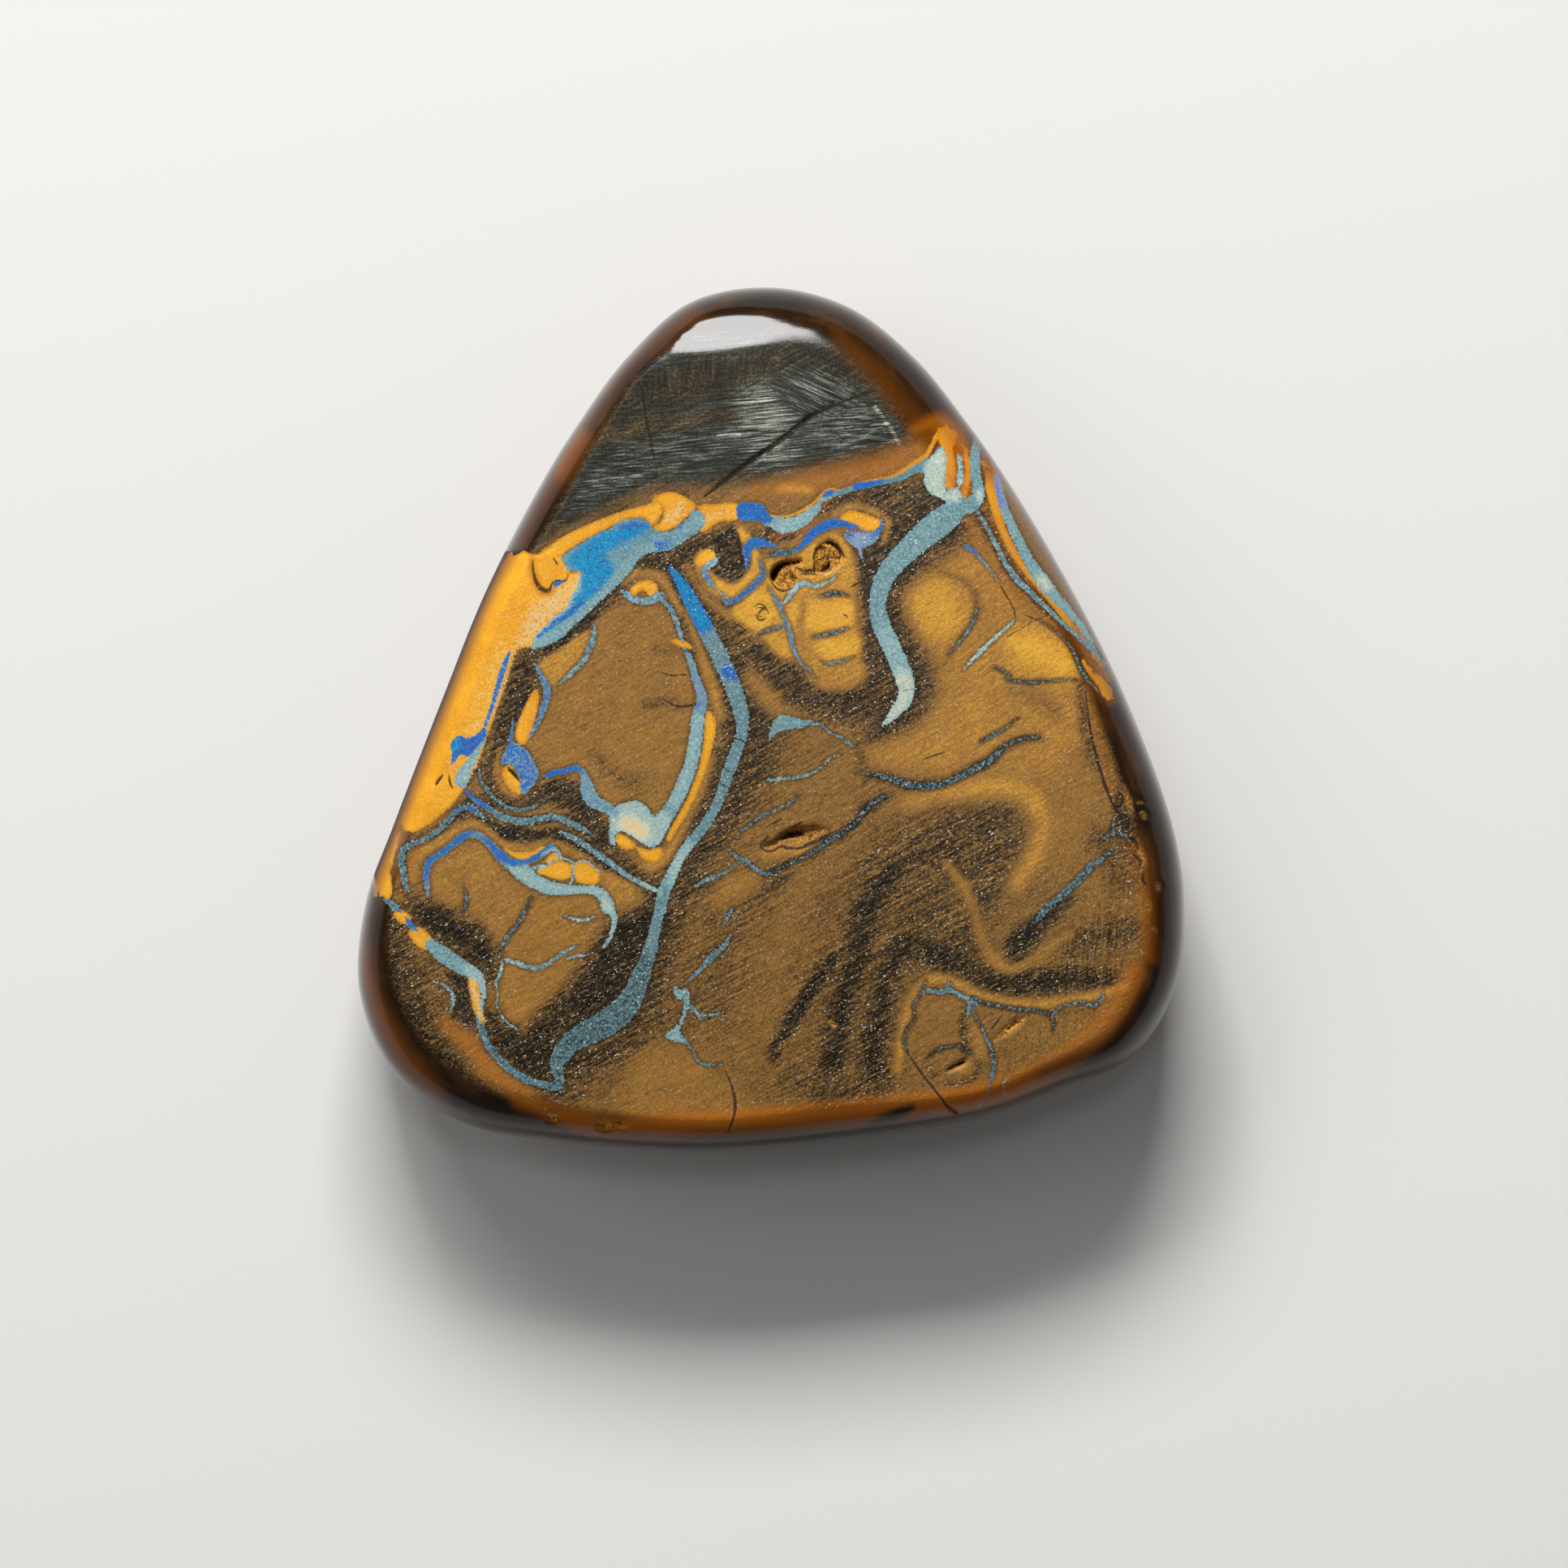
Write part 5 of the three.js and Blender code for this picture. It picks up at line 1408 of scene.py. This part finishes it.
def opalFinish():
    look = opalLook
    material = bpy.data.materials.new("polishedBoulderOpal")
    material.use_nodes = True
    tree = material.node_tree
    shader = tree.nodes["Principled BSDF"]
    where = addNode(tree, "ShaderNodeTexCoord").outputs["Object"]

    fieldNames = ("fall", "facet", "deep", "crumbly", "tone", "cap", "paintedSheen", "pale", "cyan")
    fall, facet, deep, crumbly, tone, cap, paintedSheen, pale, cyan = (readField(tree, name) for name in fieldNames)
    vein, gold, hair = (inkDepth(tree, name) for name in ("vein", "gold", "hair"))
    onFace = smoothRange(tree, fall, 0.25, 0.0)
    offCap = smoothRange(tree, cap, 0.3, 0.0)
    dark = smoothRange(tree, tone, 0.1, -0.5)
    creamy = smoothRange(tree, pale, 0.1, 0.45)
    slate = smoothRange(tree, pale, 0.0, -0.6)
    thin = smoothRange(tree, readField(tree, "vein"), 0.0, -6.0)   # a vein that is only a line

    noises = (grainNoise(tree, where, *look[name]) for name in ("grain", "mottle", "ragged", "cloud"))
    grain, mottle, ragged, cloud = (centred(tree, noise) for noise in noises)
    markNames = ("faceMarks", "uprightMarks", "capMarks", "capFacetMarks", "flecks")
    marks, upright, capMarks, capFacet, flecks = (grindMarks(tree, where, *look[name]) for name in markNames)
    marks = mixValue(tree, readField(tree, "upright"), marks, upright)
    capMarks = mixValue(tree, readField(tree, "slant"), capMarks, capFacet)
    marks = mixValue(tree, cap, marks, capMarks)
    strokes = centred(tree, marks)

    # ironstone body, more scratched where it is dark
    specks = times(tree, centred(tree, flecks), offCap)
    shade = weigh(
        tree, tone, (cloud, 0.5), (grain, weigh(tree, 1.0, (dark, 0.8))),
        (strokes, weigh(tree, 0.6, (dark, 1.7))), (specks, weigh(tree, 0.9, (dark, 0.8))),
    )
    color = ramp(tree, shade, look["ironstone"])
    # lighter brown flecks along the grinding marks, more where the stone is dark
    lighterFlecks = times(tree, smoothRange(tree, flecks, 0.54, 0.7), weigh(tree, 0.08, (dark, 0.3)))
    color = paint(tree, times(tree, lighterFlecks, offCap), color, "fleck")

    # dark cap, its scratches painted bright as highlights, most of all in the painted sheen spots
    capTone = weigh(
        tree, 0.37, (strokes, weigh(tree, 1.1, (paintedSheen, 1.2))), (paintedSheen, 0.24), (cloud, 0.4), (grain, 0.35),
    )
    color = blend(tree, cap, color, ramp(tree, capTone, look["cap"]))

    # the shoulder darkens to the girdle, and a dark line runs along every vein
    flat = addNode(tree, "ShaderNodeMapping", None, {"Vector": where, "Scale": (1, 1, look["layerFlatness"])})
    layers = grainNoise(tree, flat.outputs[0], *look["layers"])
    rimColor = ramp(tree, layers, look["rim"])
    covered = calc(tree, "SUBTRACT", 1.0, readField(tree, "bare"))
    color = blend(tree, times(tree, smoothRange(tree, fall, 0.0, 0.3), covered), color, rimColor)
    border = times(tree, smoothRange(tree, vein, -6.0, 0.0), weigh(tree, 0.45, (slate, 0.35)))
    color = paint(tree, border, color, "hair")

    # gold, and amber where the shoulder lets light in
    wander = weigh(tree, times(tree, ragged, look["raggedPixels"]), (grain, look["grainPixels"]))
    sideCloud = times(tree, cloud, smoothRange(tree, fall, 0.2, 0.8))
    edge = weigh(tree, gold, (wander, weigh(tree, 0.35, (creamy, 1.1))), (sideCloud, look["sideWander"]))
    goldTone = weigh(tree, 0.6, (cloud, 2.0), (grain, 1.2))
    goldColor = blend(tree, goldTone, tint(*look["goldDeep"]), tint(*look["goldBright"]))
    cream = weigh(tree, pale, (ragged, 1.2), (grain, 1.6))
    goldColor = paint(tree, smoothRange(tree, cream, 0.15, 0.75), goldColor, "goldCream")
    freckles = times(tree, smoothRange(tree, mottle, 0.14, 0.24), creamy)
    browned = (
        times(tree, freckles, 0.75),
        smoothRange(tree, fall, 0.3, 0.95),
        times(tree, smoothRange(tree, edge, 4.5, 0.0), 0.4),
    )
    for share in browned:
        goldColor = paint(tree, share, goldColor, "goldEdge")
    color = blend(tree, smoothRange(tree, edge, -0.8, 0.8), color, goldColor)
    color = paint(tree, times(tree, readField(tree, "amber"), 0.85), color, "amber")

    # opal
    edge = calc(tree, "SUBTRACT", calc(tree, "ADD", wander, vein), weigh(tree, slate, (thin, 0.4)))
    veinPale = weigh(
        tree, pale, (grain, weigh(tree, 1.0, (slate, 2.2))), (mottle, weigh(tree, 0.8, (thin, 1.2))),
    )
    opalColor = ramp(tree, veinPale, look["opal"])
    blueColor = ramp(tree, weigh(tree, cyan, (mottle, 1.7), (cloud, 0.8)), look["blue"])
    sunk = smoothRange(tree, calc(tree, "ADD", ragged, grain), -0.02, -0.28)
    blueColor = paint(tree, times(tree, sunk, 0.75), blueColor, "blueDeep")
    vivid = weigh(tree, readField(tree, "vivid"), (wander, 0.26))
    opalColor = blend(tree, smoothRange(tree, vivid, 0.28, 0.8), opalColor, blueColor)
    color = blend(tree, smoothRange(tree, edge, -0.7, 0.7), color, opalColor)

    # crumbly hollows, hairlines, painted shade deep in the hollows, and painted glints
    crumb = ramp(tree, weigh(tree, 0.5, (mottle, 1.6), (grain, 1.2)), look["crumb"])
    color = blend(tree, smoothRange(tree, crumbly, 0.0, 0.6), color, crumb)
    edge = weigh(tree, hair, (ragged, 2.2))
    color = paint(tree, times(tree, smoothRange(tree, edge, -0.9, 0.9), 0.88), color, "hair")
    # painted shade: hollows are painted darker the deeper they are
    color = paint(tree, smoothRange(tree, weigh(tree, deep, (ragged, 0.9)), 0.35, 1.0), color, "pitShade")
    # painted glints: white specks along the grinding marks, more where the stone is dark, none on the cap
    paintedGlint = smoothRange(tree, grindMarks(tree, where, *look["paintedGlints"], detail=0.0), 0.71, 0.83)
    paintedGlint = times(tree, paintedGlint, weigh(tree, 0.26, (dark, 0.46)))
    color = paint(tree, times(tree, times(tree, paintedGlint, offCap), onFace), color, "paintedGlint")

    # the back is plain layered ironstone
    color = blend(tree, smoothRange(tree, fall, 0.75, 1.0), color, rimColor)
    uneven = weigh(tree, fall, (centred(tree, layers), 1.2))
    color = blend(tree, smoothRange(tree, uneven, 0.95, 1.4), color, ramp(tree, layers, look["back"]))
    tree.links.new(color, shader.inputs["Base Color"])

    smooth, worn = look["faceRoughness"]
    rough = addNode(tree, "ShaderNodeMapRange", None, {
        "Value": marks, "From Min": 0.3, "From Max": 0.7, "To Min": smooth, "To Max": worn,
    }).outputs[0]
    rough = mixValue(tree, onFace, look["shoulderRoughness"], rough)
    rough = mixValue(tree, smoothRange(tree, gold, -2.0, 2.0), rough, look["goldRoughness"])
    rough = mixValue(tree, facet, rough, look["facetRoughness"])
    for dull in (smoothRange(tree, deep, 0.0, 0.07), smoothRange(tree, hair, -5.0, -1.0)):
        rough = mixValue(tree, dull, rough, look["hollowRoughness"])
    tree.links.new(rough, shader.inputs["Roughness"])
    shader.inputs["Specular IOR Level"].default_value = look["specularLevel"]

    # grinding marks are felt on the face, hardly on the shoulder and not on the flat at the tip
    height = times(tree, weigh(tree, marks, (grain, 0.6)), weigh(tree, 0.1, (onFace, 0.9)))
    height = times(tree, height, calc(tree, "SUBTRACT", 1.0, facet))
    bump = addNode(tree, "ShaderNodeBump", None, {"Height": height, "Distance": look["scratchDepth"]})
    tree.links.new(bump.outputs[0], shader.inputs["Normal"])
    return material


def makeStone():
    vertices, faces, fall, facet = stoneShape()
    spots = toPixels(vertices[:, :2])
    fields = markStone(spots, fall)
    fields["facet"] = facet
    fields["crumbly"], fields["deep"] = sinkHollows(vertices, spots, fall)
    mesh = bpy.data.meshes.new("opal_stone")
    mesh.from_pydata((vertices * mm).tolist(), [], faces)
    mesh.polygons.foreach_set("use_smooth", np.ones(len(mesh.polygons), bool))
    for name, values in fields.items():
        layer = mesh.attributes.new(name, "FLOAT", "POINT")
        layer.data.foreach_set("value", values.astype(np.float32))
    stone = bpy.data.objects.new("opal_stone", mesh)
    bpy.context.scene.collection.objects.link(stone)

    finish = opalFinish()
    tree = poreTree()
    pores = stone.modifiers.new("pores", "NODES")
    pores.node_group = tree
    setInputs(pores, tree, {**poreLook, "Finish": finish})
    done = bpy.data.meshes.new_from_object(stone.evaluated_get(bpy.context.evaluated_depsgraph_get()))
    stone.modifiers.remove(pores)
    stone.data = done
    done.name = "opal_stone"
    bpy.data.meshes.remove(mesh)
    print("stone made:", sum(len(p.vertices) - 2 for p in done.polygons), "triangles")
    return stone


setStage()
stone = makeStone()
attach(stone, "root")
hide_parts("stone")
print("stone rides on the root body")
